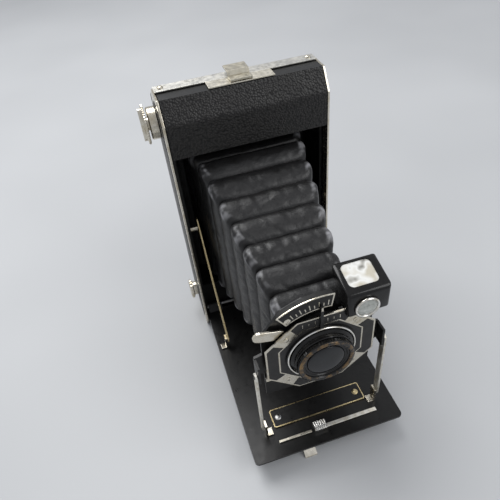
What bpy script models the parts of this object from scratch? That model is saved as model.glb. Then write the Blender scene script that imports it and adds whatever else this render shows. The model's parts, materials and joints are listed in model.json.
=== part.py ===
"""A single-lens folding roll-film camera, standing upright with its bed open.

Metres, +Z up. The lens looks along -Y, the origin is the middle of the body's flat bottom.
"""
import math

import bmesh
import bpy
from mathutils import Matrix, Vector, geometry

# Body
BODY_D = 0.036
BODY_H = 0.144
SIDE_PLATE_T = 0.001
CHAMFER_H = 0.0095
CHAMFER_D = 0.006
FLAT_D = 0.014
REAR_RISE = 0.009
BACK_DEPTH = 0.006
BACK_WALL = 0.0012
CLEAR = 0.0003
SLOT_WALL = 0.0013
OPENING_TOP = 0.1185
LIP_H = 0.0064

# Film path
SPOOL_INSET = 0.0165
SPOOL_DEPTH = 0.022
SPOOL_R = 0.0108
SPOOL_CORE_R = 0.0055
SPOOL_L = 0.0654
SPOOL_END = 0.0053
SPOOL_FLANGE_T = 0.0009
CHAMBER_R = 0.0119
CHAMBER_END = 0.0013
CHAMBER_WALL_LOW = 0.0011
CHAMBER_WALL_TOP = 0.0016
GATE_W = 0.056
GATE_MARGIN = 0.0052
GATE_CORNER_R = 0.001
GATE_T = 0.0012
GATE_DEPTH = 0.027
GUIDE_R = 0.0012
PRESS_MARGIN = 0.0025
PRESS_T = 0.0008
SPRING_L = 0.0488
SPRING_FLAT_L = 0.0146
SPRING_W = 0.008
SPRING_T = 0.0004
WINDOW_R = 0.005

# Bed and its hinge
BED_TOP = 0.012
BED_T = 0.005
BED_L = 0.093
BED_SIDE = 0.0002
BED_SKIN = 0.001
BED_WALL = 0.0013
BED_CORNER_R = 0.002
BED_FALL_D = 0.008
BED_EDGE_T = 0.0012
BED_HEEL = 0.002
HINGE_DEPTH = 0.0065
HINGE_RISE = 0.0015
PIN_R = 0.0009
LUG_W = 0.008
LUG_R = 0.0022
BACK_PIN_OUT = 0.0016
BACK_PIN_DROP = 0.0026
BACK_EYE_R = 0.0022
BACK_BARREL_HALF = 0.012
BACK_EYE_W = 0.004
BACK_LIP = 0.0012
BACK_ROOT = 0.0007
STRAP_DEPTH = 0.0245

# Front standard and lens
PLATE_REACH = 0.080
LENS_RISE = 0.052
OCT_HALF_W = 0.0237
OCT_HALF_H = 0.0212
OCT_SIDE = 0.0090
OCT_TOP = 0.0100
OCT_T = 0.0007
CASE_R = 0.0200
CASE_T = 0.0022
BOARD_T = 0.0012
BOARD_HALF_W = 0.0240
BOARD_DOWN = 0.0250
BOARD_UP = 0.0177
BARREL_R = 0.0137
BARREL_L = 0.0037
BARREL_EASE = 0.0014
FOCUS_R = 0.0125
FOCUS_L = 0.0022
FOCUS_EASE = 0.001
LENS_R = 0.0081
LENS_DOME = 0.001
LENS_SINK = 0.0002
TUBE_R = 0.0090
SCALE_IN_R = 0.0255
SCALE_OUT_R = 0.0320
SCALE_FROM = 80.0
SCALE_TO = 124.0
SCALE_BACK_IN = 0.0015
SCALE_BACK_TO = 120.0
POINTER_W = 0.0018
POINTER_RING_W = 0.0014
POINTER_TIP_W = 0.0012
POINTER_REST = 10.0
RELEASE_W = 0.005
RELEASE_L = 0.0105
RELEASE_TURN = 137.0
RELEASE_BEND = 8.0
SOCKET_R = 0.001
SOCKET_L = 0.007
SOCKET_DROP = 0.012

# Folding arms and braces
ARM_X = 0.0286
ARM_T = 0.001
ARM_W = 0.0036
ARM_FOOT_RISE = 0.0073
BRACE_X = 0.0306
BRACE_T = 0.0008
BRACE_W = 0.0045
BRACE_FOOT_REACH = 0.024
BRACE_FOOT_RISE = 0.006
BRACE_LEAN = 56.06
BRACE_STUD_IN = 0.0033
BRACE_L = 0.066
BRACE_SLOT_FROM = 0.0198
BRACE_SLOT_END = 0.002
BRACE_SLOT_W = 0.0018
STUD_R = 0.0014
EAR_T = 0.001
EAR_FOOT = 0.0036

# Finder
FINDER_X = 0.0186
FINDER_W = 0.018
FINDER_D = 0.016
FINDER_H = 0.0122
FINDER_SLOPE = 0.0036
FINDER_FLOOR_D = 0.0055
FINDER_BACK_H = 0.0038
FINDER_RISE = 0.0700
FINDER_WALL = 0.0012
FINDER_FRONT = 0.0825
FINDER_LENS_R = 0.0052
MIRROR_T = 0.0006

# Bellows
BELLOWS_MARGIN = 0.0025
BELLOWS_SIDE = 0.0035
BELLOWS_THROAT_W = 0.0536
BELLOWS_THROAT = 0.0212
BELLOWS_FRONT_W = 0.031
BELLOWS_FRONT_H = 0.040
BELLOWS_PLEATS = 8
BELLOWS_FOLD = 0.003
BELLOWS_WALL = 0.0009
BELLOWS_CORNER_R = 0.004
BELLOWS_BORDER = 0.0022

# Small fittings
KEY_BOSS_R = 0.0075
KEY_BOSS_T = 0.0042
KEY_NECK_R = 0.003
KEY_NECK_T = 0.0008
KEY_DISC_R = 0.0092
KEY_DISC_T = 0.0012
KEY_WING_L = 0.016
KEY_WING_W = 0.0036
KEY_WING_T = 0.0016
KEY_SHAFT_R = 0.0032
KNOB_R = 0.0058
KNOB_L = 0.0042
KNOB_HEAD_T = 0.0021
KNOB_EASE = 0.0005
KNOB_NECK_R = 0.0042
KNOB_SHAFT_R = 0.0023
STRIP_T = 0.0006
FOOT_X = -0.0095
FOOT_W = 0.006
FOOT_T = 0.0012
FOOT_IN = 0.0105
FOOT_TOE = 0.0095
BUSH_R = 0.0062
BUSH_HOLE_R = 0.0027
BUSH_T = 0.0015
BUSH_DEPTH = 0.0144
TOP_STRIP_W = 0.0066
SCREW_R = 0.0013
SCREW_IN = 0.0032
LATCH_PLATE_W = 0.030
LATCH_W = 0.010
LATCH_T = 0.0008
LATCH_RISE = 0.0018
BED_STRIP_IN = 0.0062
BED_STRIP_W = 0.0012
BED_STRIP_LEFT = (-0.023, -0.007)
BED_STRIP_RIGHT = (0.001, 0.026)
BED_STRIP_RIGHT_W = 0.0018
CATCH_D = 0.0045
CATCH_OUT = 0.0009
CATCH_H = 0.0022
CATCH_TRAVEL = 0.0015
LABEL_X = (-0.0228, 0.0238)
LABEL_IN = 0.0138
LABEL_D = 0.0094
LABEL_CORNER_R = 0.001
RIVET_R = 0.0016
RIVET_IN = 0.0032

# Places that follow from those sizes
BODY_W = SPOOL_L + 2 * SPOOL_END
CHAMBER_W = SPOOL_L + 2 * CHAMBER_END
Y_FRONT = -BODY_D / 2
BACK_SPLIT = BODY_D - BACK_DEPTH
LENS_Z = BED_TOP + LENS_RISE
PLATE_Y = Y_FRONT - PLATE_REACH
HINGE_Y = Y_FRONT + HINGE_DEPTH
HINGE_Z = BED_TOP + HINGE_RISE
SPOOL_Y = Y_FRONT + SPOOL_DEPTH
SPOOL_Z_LOW = SPOOL_INSET
SPOOL_Z_TOP = BODY_H - SPOOL_INSET
SHELL_HALF_W = BODY_W / 2 - SIDE_PLATE_T - CLEAR
SLOT_HALF_W = SHELL_HALF_W - SLOT_WALL
BED_W = 2 * (SHELL_HALF_W - BED_SIDE)
CAVITY_LOW = SPOOL_Z_LOW + CHAMBER_R + CHAMBER_WALL_LOW
CAVITY_TOP = SPOOL_Z_TOP - CHAMBER_R - CHAMBER_WALL_TOP
CAVITY_MID = (CAVITY_LOW + CAVITY_TOP) / 2
GATE_H = CAVITY_TOP - CAVITY_LOW - 2 * GATE_MARGIN
BELLOWS_REAR_W = CHAMBER_W - 2 * BELLOWS_SIDE
BELLOWS_REAR_H = CAVITY_TOP - CAVITY_LOW - 2 * BELLOWS_MARGIN
ARM_FOOT_Z = BED_TOP + ARM_FOOT_RISE
# The arm is as long as lets the standard come home at the height it left
ARM_L = (HINGE_Z + HINGE_DEPTH + PLATE_REACH - ARM_FOOT_Z) / 2
ARM_TOP_Z = ARM_FOOT_Z + ARM_L
BRACE_FOOT_Y = Y_FRONT - BRACE_FOOT_REACH
BRACE_FOOT_Z = BED_TOP + BRACE_FOOT_RISE
BACK_PIN_Y = Y_FRONT + BODY_D + BACK_PIN_OUT
BACK_PIN_Z = REAR_RISE - BACK_PIN_DROP
BUSH_Y = Y_FRONT + BUSH_DEPTH
BUSH_Z = BODY_H / 2
BOARD_Y = PLATE_Y + OCT_T + CLEAR + CASE_T + CLEAR


def reset_scene():
    for item in list(bpy.data.objects):
        bpy.data.objects.remove(item, do_unlink=True)


def collection(name):
    made = bpy.data.collections.new(name)
    bpy.context.scene.collection.children.link(made)
    return made


reset_scene()
PARTS = collection("folding_camera")
CUTTERS = collection("cutters")


def material(name, colour, roughness, metallic):
    made = bpy.data.materials.new(name)
    made.use_nodes = True
    shader = made.node_tree.nodes["Principled BSDF"]
    shader.inputs["Base Color"].default_value = (*colour, 1.0)
    shader.inputs["Roughness"].default_value = roughness
    shader.inputs["Metallic"].default_value = metallic
    return made


LEATHERETTE = material("leatherette", (0.018, 0.017, 0.017), 0.6, 0.0)
ENAMEL = material("black_enamel", (0.012, 0.012, 0.012), 0.3, 0.0)
NICKEL = material("nickel", (0.70, 0.67, 0.60), 0.22, 1.0)
BELLOWS_CLOTH = material("bellows_leather", (0.035, 0.034, 0.033), 0.55, 0.0)
GLASS = material("lens_glass", (0.55, 0.60, 0.62), 0.05, 0.0)
RED = material("red_window", (0.45, 0.02, 0.02), 0.15, 0.0)
MIRROR = material("finder_mirror", (0.80, 0.82, 0.82), 0.05, 1.0)
STEEL = material("steel", (0.42, 0.42, 0.42), 0.35, 1.0)


def add_object(name, mesh, surface, group=None):
    made = bpy.data.objects.new(name, mesh)
    (group or PARTS).objects.link(made)
    if surface is not None:
        mesh.materials.clear()
        mesh.materials.append(surface)
    return made


def as_cutter(item):
    item.hide_render = True
    item.display_type = "WIRE"
    for holder in list(item.users_collection):
        holder.objects.unlink(item)
    CUTTERS.objects.link(item)
    return item


def box(name, low, high, surface=None, bevel=0.0):
    """A block from its lowest to its highest corner."""
    low, high = Vector(low), Vector(high)
    mesh = bpy.data.meshes.new(name)
    shape = bmesh.new()
    size = high - low
    place = Matrix.Translation((low + high) / 2) @ Matrix.Diagonal((*size, 1.0))
    bmesh.ops.create_cube(shape, size=1.0, matrix=place)
    shape.to_mesh(mesh)
    shape.free()
    made = add_object(name, mesh, surface)
    if bevel:
        soften(made, bevel)
    return made


def soften(item, width, segments=2):
    bevel = item.modifiers.new("bevel", "BEVEL")
    bevel.width = width
    bevel.segments = segments
    bevel.limit_method = "ANGLE"
    return item


AXES = {
    "X": Matrix(((0, 0, 1), (1, 0, 0), (0, 1, 0))),
    "Y": Matrix(((1, 0, 0), (0, 0, -1), (0, 1, 0))),
    "Z": Matrix(((1, 0, 0), (0, 1, 0), (0, 0, 1))),
}


def plate(name, outlines, axis, low, high, surface=None):
    """A flat outline, with any holes, given its thickness from low to high along an axis.

    Points are (y, z) across X, (x, z) across Y and (x, y) across Z.
    """
    curve = bpy.data.curves.new(name, "CURVE")
    curve.dimensions = "2D"
    curve.fill_mode = "BOTH"
    curve.extrude = (high - low) / 2
    for points in outlines:
        spline = curve.splines.new("POLY")
        spline.points.add(len(points) - 1)
        for point, (a, b) in zip(spline.points, points):
            point.co = (a, b, 0.0, 1.0)
        spline.use_cyclic_u = True
    middle = (low + high) / 2
    shift = {"X": (middle, 0, 0), "Y": (0, middle, 0), "Z": (0, 0, middle)}[axis]
    source = bpy.data.objects.new(name + "_outline", curve)
    PARTS.objects.link(source)
    source.matrix_world = Matrix.Translation(shift) @ AXES[axis].to_4x4()
    bpy.context.view_layer.update()
    mesh = bpy.data.meshes.new_from_object(source.evaluated_get(bpy.context.evaluated_depsgraph_get()))
    mesh.transform(source.matrix_world)
    bpy.data.objects.remove(source, do_unlink=True)
    shape = bmesh.new()
    shape.from_mesh(mesh)
    bmesh.ops.remove_doubles(shape, verts=shape.verts, dist=0.00001)
    bmesh.ops.recalc_face_normals(shape, faces=shape.faces)
    shape.to_mesh(mesh)
    shape.free()
    mesh.name = name
    return add_object(name, mesh, surface)


def circle(centre, radius, steps=24):
    turns = [2 * math.pi * i / steps for i in range(steps)]
    return [(centre[0] + radius * math.cos(t), centre[1] + radius * math.sin(t)) for t in turns]


def rounded(low, high, radius, steps=4):
    """A rectangle's outline with round corners."""
    points = []
    corners = ((high[0], high[1], 0), (low[0], high[1], 90), (low[0], low[1], 180), (high[0], low[1], 270))
    for x, y, start in corners:
        cx = x - math.copysign(radius, x - (low[0] + high[0]) / 2)
        cy = y - math.copysign(radius, y - (low[1] + high[1]) / 2)
        for i in range(steps + 1):
            turn = math.radians(start + 90 * i / steps)
            points.append((cx + radius * math.cos(turn), cy + radius * math.sin(turn)))
    return points


def bar_outline(start, end, width, steps=6):
    """A flat bar's outline with round ends, between the centres of its ends."""
    turn = math.atan2(end[1] - start[1], end[0] - start[0])
    points = []
    for centre, base in ((end, turn - math.pi / 2), (start, turn + math.pi / 2)):
        for i in range(steps + 1):
            angle = base + math.pi * i / steps
            points.append((centre[0] + width / 2 * math.cos(angle), centre[1] + width / 2 * math.sin(angle)))
    return points


def hull(points):
    """The outline around a cloud of points."""
    return [points[i] for i in geometry.convex_hull_2d(points)]


# Where a turned profile's height points: out of the named side
TURNS = {
    "+X": Matrix.Rotation(math.pi / 2, 4, "Y"),
    "-X": Matrix.Rotation(-math.pi / 2, 4, "Y"),
    "-Y": Matrix.Rotation(math.pi / 2, 4, "X"),
}


def turned(name, profile, centre, axis, surface=None, steps=32):
    """A profile of (radius, height) points, top to bottom on its outer side, turned about an axis."""
    mesh = bpy.data.meshes.new(name)
    shape = bmesh.new()
    ring = [shape.verts.new((radius, 0.0, height)) for radius, height in profile]
    for first, second in zip(ring, ring[1:]):
        shape.edges.new((first, second))
    if profile[0][0] > 0:
        shape.edges.new((ring[-1], ring[0]))
    shape.to_mesh(mesh)
    shape.free()
    made = add_object(name, mesh, surface)
    screw = made.modifiers.new("turn", "SCREW")
    screw.axis = "Z"
    screw.steps = steps
    screw.render_steps = steps
    screw.use_merge_vertices = True
    screw.merge_threshold = 0.000005
    made.matrix_world = Matrix.Translation(centre) @ TURNS[axis]
    return made


def rod(name, start, end, radius, surface=None, steps=16):
    """A round bar between two points on one axis."""
    start, end = Vector(start), Vector(end)
    mesh = bpy.data.meshes.new(name)
    shape = bmesh.new()
    place = Matrix.Translation((start + end) / 2) @ (end - start).to_track_quat("Z", "Y").to_matrix().to_4x4()
    length = (end - start).length
    bmesh.ops.create_cone(
        shape, cap_ends=True, segments=steps, radius1=radius, radius2=radius, depth=length, matrix=place
    )
    shape.to_mesh(mesh)
    shape.free()
    return add_object(name, mesh, surface)


def combine(item, tool, operation):
    change = item.modifiers.new(operation.lower(), "BOOLEAN")
    change.operation = operation
    change.solver = "EXACT"
    change.object = as_cutter(tool)
    return item


def cut(item, tool):
    return combine(item, tool, "DIFFERENCE")


def join(item, tool):
    return combine(item, tool, "UNION")


def pivot(name, place, items):
    """Pieces that move together hang on an empty on their joint's axis."""
    empty = bpy.data.objects.new(name, None)
    PARTS.objects.link(empty)
    empty.location = place
    bpy.context.view_layer.update()
    for item in items:
        item.parent = empty
        item.matrix_parent_inverse = empty.matrix_world.inverted()
    return empty


def depth(value):
    """World Y of a distance behind the body's front plane."""
    return Y_FRONT + value


def slope_z(at_depth):
    """Height of the body's lower outline where it rises towards the back."""
    start = CHAMFER_D + FLAT_D
    return REAR_RISE * max(0.0, at_depth - start) / (BODY_D - start)


def side_outline(inset=0.0):
    """The body's outline seen from the side, from the front plane to the back cover."""
    rear = BACK_SPLIT - CLEAR / 2
    half = [
        (depth(inset), CHAMFER_H),
        (depth(CHAMFER_D), inset),
        (depth(CHAMFER_D + FLAT_D), inset),
        (depth(rear), slope_z(rear) + inset),
    ]
    return half + [(y, BODY_H - z) for y, z in reversed(half)]


def spool_axis(low):
    return SPOOL_Z_LOW if low else SPOOL_Z_TOP


def body_shell():
    shell = plate("body_shell", [side_outline()], "X", -SHELL_HALF_W, SHELL_HALF_W, LEATHERETTE)
    bed_low = (-BODY_W, depth(-CHAMFER_D), LIP_H)
    bed_high = (BODY_W, depth(BED_T + 2 * CLEAR), OPENING_TOP)
    cut(shell, box("cut_bed_slot", bed_low, bed_high))
    mid_high = (SLOT_HALF_W, depth(HINGE_DEPTH + LUG_R + CLEAR), OPENING_TOP)
    cut(shell, box("cut_hinge_slot", (-SLOT_HALF_W, depth(BED_T), LIP_H), mid_high))
    cut(
        shell,
        box(
            "cut_cavity",
            (-SLOT_HALF_W, depth(HINGE_DEPTH), CAVITY_LOW),
            (SLOT_HALF_W, depth(BODY_D), CAVITY_TOP),
        ),
    )
    half_w = CHAMBER_W / 2
    for low in (True, False):
        z = spool_axis(low)
        place = "low" if low else "top"
        start, end = (-half_w, SPOOL_Y, z), (half_w, SPOOL_Y, z)
        cut(shell, rod("cut_chamber_" + place, start, end, CHAMBER_R, steps=32))
        edge = slope_z(BACK_SPLIT) + BACK_WALL
        z_low = edge if low else z - CHAMBER_R
        z_high = z + CHAMBER_R if low else BODY_H - edge
        cut(
            shell,
            box("cut_mouth_" + place, (-half_w, SPOOL_Y, z_low), (half_w, depth(BODY_D), z_high)),
        )
    cut(
        shell,
        box(
            "cut_film_way",
            (-half_w, depth(GATE_DEPTH + GATE_T + CLEAR), SPOOL_Z_LOW),
            (half_w, depth(BODY_D), SPOOL_Z_TOP),
        ),
    )
    pin_half = SLOT_HALF_W + SLOT_WALL / 2
    cut(shell, rod("cut_bed_pin", (-pin_half, HINGE_Y, HINGE_Z), (pin_half, HINGE_Y, HINGE_Z), PIN_R + CLEAR))
    for low, radius in ((True, KNOB_SHAFT_R), (False, KEY_SHAFT_R)):
        z = spool_axis(low)
        name = "cut_shaft_low" if low else "cut_shaft_top"
        cut(shell, rod(name, (-BODY_W, SPOOL_Y, z), (0, SPOOL_Y, z), radius + CLEAR))
    return shell


def side_plates():
    half = BODY_W / 2
    for side, name in ((-1, "side_plate_left"), (1, "side_plate_right")):
        low, high = sorted((side * half, side * (half - SIDE_PLATE_T)))
        holes = []
        if side < 0:
            holes = [
                circle((SPOOL_Y, SPOOL_Z_LOW), KNOB_SHAFT_R + CLEAR, 16),
                circle((SPOOL_Y, SPOOL_Z_TOP), KEY_SHAFT_R + CLEAR, 16),
            ]
        plate(name, [side_outline(), *holes], "X", low, high, ENAMEL)


def film_gate():
    half_w = SLOT_HALF_W - CLEAR
    frame = [(-half_w, CAVITY_LOW + CLEAR), (half_w, CAVITY_LOW + CLEAR)]
    frame += [(x, CAVITY_TOP - CLEAR) for x, _ in reversed(frame)]
    low, high = (-GATE_W / 2, CAVITY_MID - GATE_H / 2), (GATE_W / 2, CAVITY_MID + GATE_H / 2)
    window = rounded(low, high, GATE_CORNER_R, 2)
    plate("film_gate", [frame, window], "Y", depth(GATE_DEPTH), depth(GATE_DEPTH + GATE_T), ENAMEL)
    guide_half = CHAMBER_W / 2 - CLEAR
    guide_y = depth(GATE_DEPTH + GATE_T + CLEAR + GUIDE_R)
    for name, z in (
        ("film_guide_lower", CAVITY_LOW + 2 * CLEAR),
        ("film_guide_upper", CAVITY_TOP - 2 * CLEAR),
    ):
        rod(name, (-guide_half, guide_y, z), (guide_half, guide_y, z), GUIDE_R, NICKEL, 12)


def bellows_rear_frame():
    half_w, half_h = BELLOWS_REAR_W / 2, BELLOWS_REAR_H / 2
    border = BELLOWS_BORDER
    out_w, out_h = half_w + border, half_h + border
    outer = rounded((-out_w, CAVITY_MID - out_h), (out_w, CAVITY_MID + out_h), border, 2)
    in_w, in_h = half_w - border, half_h - border
    inner = rounded((-in_w, CAVITY_MID - in_h), (in_w, CAVITY_MID + in_h), border / 2, 2)
    rear = depth(GATE_DEPTH) - CLEAR
    plate("bellows_rear_frame", [outer, inner], "Y", rear - GATE_T, rear, ENAMEL)
    return rear - GATE_T


def between(start, end, share):
    return start + (end - start) * share


def bellows_section(reach, length):
    """Half width, half height and middle of the bellows at a distance in front of its rear end.

    Inside the body it only narrows, and in front of its throat it tapers to the lens board.
    """
    inside = min(1.0, reach / BELLOWS_THROAT)
    taper = max(0.0, (reach - BELLOWS_THROAT) / (length - BELLOWS_THROAT))
    width = between(between(BELLOWS_REAR_W, BELLOWS_THROAT_W, inside), BELLOWS_FRONT_W, taper)
    height = between(BELLOWS_REAR_H, BELLOWS_FRONT_H, taper)
    return width / 2, height / 2, between(CAVITY_MID, LENS_Z, taper)


def bellows(rear_y, front_y):
    """A pleated tapering tube: a loft of square rings, crest and valley in turn, with a wall."""
    rings = []
    count = 2 * BELLOWS_PLEATS + 1
    length = rear_y - front_y
    for i in range(count + 1):
        reach = length * i / count
        half_w, half_h, middle = bellows_section(reach, length)
        fold = BELLOWS_FOLD * (i % 2)
        low = (fold - half_w, middle - half_h + fold)
        high = (half_w - fold, middle + half_h - fold)
        rings.append([(x, rear_y - reach, z) for x, z in rounded(low, high, BELLOWS_CORNER_R, 2)])
    mesh = bpy.data.meshes.new("bellows")
    shape = bmesh.new()
    rows = [[shape.verts.new(point) for point in ring] for ring in rings]
    for first, second in zip(rows, rows[1:]):
        for i in range(len(first)):
            j = (i + 1) % len(first)
            shape.faces.new((first[i], first[j], second[j], second[i]))
    bmesh.ops.recalc_face_normals(shape, faces=shape.faces)
    shape.to_mesh(mesh)
    shape.free()
    tube = add_object("bellows", mesh, BELLOWS_CLOTH)
    wall = tube.modifiers.new("wall", "SOLIDIFY")
    wall.thickness = BELLOWS_WALL
    wall.offset = -1.0
    return tube


def spool(name, z, surface):
    half = SPOOL_L / 2
    flange = SPOOL_FLANGE_T
    profile = [
        (0.0, half),
        (SPOOL_R, half),
        (SPOOL_R, half - flange),
        (SPOOL_CORE_R, half - flange),
        (SPOOL_CORE_R, flange - half),
        (SPOOL_R, flange - half),
        (SPOOL_R, -half),
        (0.0, -half),
    ]
    return turned(name, profile, (0, SPOOL_Y, z), "+X", surface, 24)


def winder():
    outer = -BODY_W / 2 - CLEAR
    z = SPOOL_Z_TOP
    neck = KEY_BOSS_T + KEY_NECK_T
    face = neck + KEY_DISC_T
    profile = [
        (0.0, face),
        (KEY_DISC_R, face),
        (KEY_DISC_R, neck),
        (KEY_NECK_R, neck),
        (KEY_NECK_R, KEY_BOSS_T),
        (KEY_BOSS_R, KEY_BOSS_T),
        (KEY_BOSS_R, 0.0),
        (0.0, 0.0),
    ]
    key = turned("winding_key", profile, (outer, SPOOL_Y, z), "-X", NICKEL)
    wing_root = outer - face + KEY_DISC_T / 2
    wing_out = outer - face - KEY_WING_T
    bend = (KEY_WING_L - KEY_WING_W) / 2
    outline = bar_outline((SPOOL_Y, z - bend), (SPOOL_Y, z + bend), KEY_WING_W)
    join(key, plate("key_wing", [outline], "X", wing_out, wing_root))
    inner = -SPOOL_L / 2 - CLEAR
    shaft = rod("winding_shaft", (outer + CLEAR, SPOOL_Y, z), (inner, SPOOL_Y, z), KEY_SHAFT_R, STEEL)
    take_up = spool("takeup_spool", z, ENAMEL)
    pivot("winder_axis", (0, SPOOL_Y, z), [key, shaft, take_up])


def supply():
    z = SPOOL_Z_LOW
    pivot("supply_axis", (0, SPOOL_Y, z), [spool("supply_spool", z, ENAMEL)])
    outer = BODY_W / 2 + CLEAR
    top = outer + KNOB_L
    profile = [
        (0.0, top),
        (KNOB_R - KNOB_EASE, top),
        (KNOB_R, top - KNOB_EASE),
        (KNOB_R, top - KNOB_HEAD_T + KNOB_EASE),
        (KNOB_NECK_R, top - KNOB_HEAD_T),
        (KNOB_NECK_R, outer),
        (KNOB_SHAFT_R, outer),
        (KNOB_SHAFT_R, SPOOL_L / 2 + CLEAR),
        (0.0, SPOOL_L / 2 + CLEAR),
    ]
    knob = turned("spool_knob", profile, (0, SPOOL_Y, z), "-X", NICKEL, 24)
    pivot("knob_axis", (0, SPOOL_Y, z), [knob])


def back_cover():
    half_w = BODY_W / 2
    front = BACK_SPLIT + CLEAR / 2
    rear = depth(BODY_D)
    low = [(depth(front), slope_z(front)), (rear, REAR_RISE)]
    outline = low + [(y, BODY_H - z) for y, z in reversed(low)]
    cover = plate("back_cover", [outline], "X", -half_w, half_w, LEATHERETTE)
    mouth, floor = front - BACK_WALL, BODY_D - BACK_WALL
    low = [(depth(mouth), slope_z(mouth) + BACK_LIP), (depth(floor), slope_z(floor) + BACK_LIP)]
    pocket = low + [(y, BODY_H - z) for y, z in reversed(low)]
    cut(cover, plate("cut_back_pocket", [pocket], "X", BACK_WALL - half_w, half_w - BACK_WALL))
    pin = (BACK_PIN_Y, BACK_PIN_Z)
    root = [(rear - BACK_ROOT, REAR_RISE + BACK_LIP), (rear - 2 * BACK_ROOT, REAR_RISE)]
    barrel = hull(circle(pin, BACK_EYE_R, 20) + root)
    join(cover, plate("back_barrel", [barrel], "X", -BACK_BARREL_HALF, BACK_BARREL_HALF))
    cut(cover, rod("cut_back_pin", (-half_w, *pin), (half_w, *pin), PIN_R + CLEAR))
    hole_from, hole_to = (0, rear - 2 * BACK_WALL, LENS_Z), (0, rear + BACK_WALL, LENS_Z)
    cut(cover, rod("cut_window", hole_from, hole_to, WINDOW_R + CLEAR, steps=24))
    window_ends = (0, rear - BACK_WALL + CLEAR, LENS_Z), (0, rear - CLEAR, LENS_Z)
    window = rod("film_window", *window_ends, WINDOW_R, RED, 24)
    press, spring = pressure(rear - BACK_WALL - CLEAR)
    pivot("back_axis", (0, *pin), [cover, window, press, spring])


def pressure(spring_rear):
    """The plate that keeps the film flat against the gate, and the leaf behind it."""
    front = depth(GATE_DEPTH + GATE_T) + 2 * CLEAR
    half_w, half_h = GATE_W / 2 - PRESS_MARGIN, GATE_H / 2 - PRESS_MARGIN
    sheet = rounded((-half_w, CAVITY_MID - half_h), (half_w, CAVITY_MID + half_h), PRESS_MARGIN, 2)
    sight = circle((0, LENS_Z), WINDOW_R, 16)
    press = plate("pressure_plate", [sheet, sight], "Y", front, front + PRESS_T, ENAMEL)
    near, far = front + PRESS_T + CLEAR, spring_rear - SPRING_T
    reach, flat = SPRING_L / 2, SPRING_FLAT_L / 2
    bow = [(far, -reach), (near, -flat), (near, flat), (far, reach)]
    leaf = [(y, LENS_Z + z) for y, z in bow] + [(y + SPRING_T, LENS_Z + z) for y, z in reversed(bow)]
    side = 2 * WINDOW_R
    spring = plate("pressure_spring", [leaf], "X", side, side + SPRING_W, STEEL)
    return press, spring


def back_hinge():
    pin = (BACK_PIN_Y, BACK_PIN_Z)
    inner = BACK_BARREL_HALF + CLEAR
    outer = inner + BACK_EYE_W
    rod("back_hinge_pin", (-outer, *pin), (outer, *pin), PIN_R, NICKEL, 12)
    lean = REAR_RISE / (BODY_D - CHAMFER_D - FLAT_D)
    drop = (PIN_R + CLEAR + CLEAR / 3) * math.hypot(1.0, lean)
    strap = (depth(STRAP_DEPTH), slope_z(STRAP_DEPTH) - drop)
    outline = hull(circle(pin, BACK_EYE_R, 20) + circle(strap, PIN_R, 12))
    hole = circle(pin, PIN_R + CLEAR, 12)
    plate("back_hinge_bracket_left", [outline, hole], "X", -outer, -inner, NICKEL)
    plate("back_hinge_bracket_right", [outline, hole], "X", inner, outer, NICKEL)


def top_fittings():
    base = BODY_H + CLEAR
    top = base + STRIP_T
    half_w = BODY_W / 2 - STRIP_T
    flat_end = CHAMFER_D + FLAT_D
    strip_front = flat_end - TOP_STRIP_W
    box("top_strip", (-half_w, depth(strip_front), base), (half_w, depth(flat_end), top), NICKEL)
    middle = depth((strip_front + flat_end) / 2)
    for name, x in (("strip_screw_left", SCREW_IN - half_w), ("strip_screw_right", half_w - SCREW_IN)):
        rod(name, (x, middle, top + CLEAR), (x, middle, top + CLEAR + STRIP_T), SCREW_R, NICKEL, 12)
    plate_low = (-LATCH_PLATE_W / 2, depth(CHAMFER_D + CLEAR), base)
    box("latch_plate", plate_low, (LATCH_PLATE_W / 2, depth(strip_front - CLEAR), top), NICKEL)
    foot_z = top + CLEAR
    heel = depth(CHAMFER_D + LATCH_T)
    step = depth(strip_front - 2 * LATCH_T)
    run = [(heel, 0.0), (step, 0.0), (step + LATCH_T, LATCH_RISE), (depth(flat_end), LATCH_RISE)]
    outline = [(y, foot_z + z) for y, z in run] + [(y, foot_z + LATCH_T + z) for y, z in reversed(run)]
    clip = plate("latch_clip", [outline], "X", -LATCH_W / 2, LATCH_W / 2, NICKEL)
    pivot("latch_axis", (0, heel, foot_z), [clip])


def tripod_bush():
    profile = [(BUSH_R, BUSH_T), (BUSH_R, 0.0), (BUSH_HOLE_R, 0.0), (BUSH_HOLE_R, BUSH_T)]
    turned("tripod_bush", profile, (BODY_W / 2 + CLEAR, BUSH_Y, BUSH_Z), "+X", NICKEL, 24)


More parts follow.
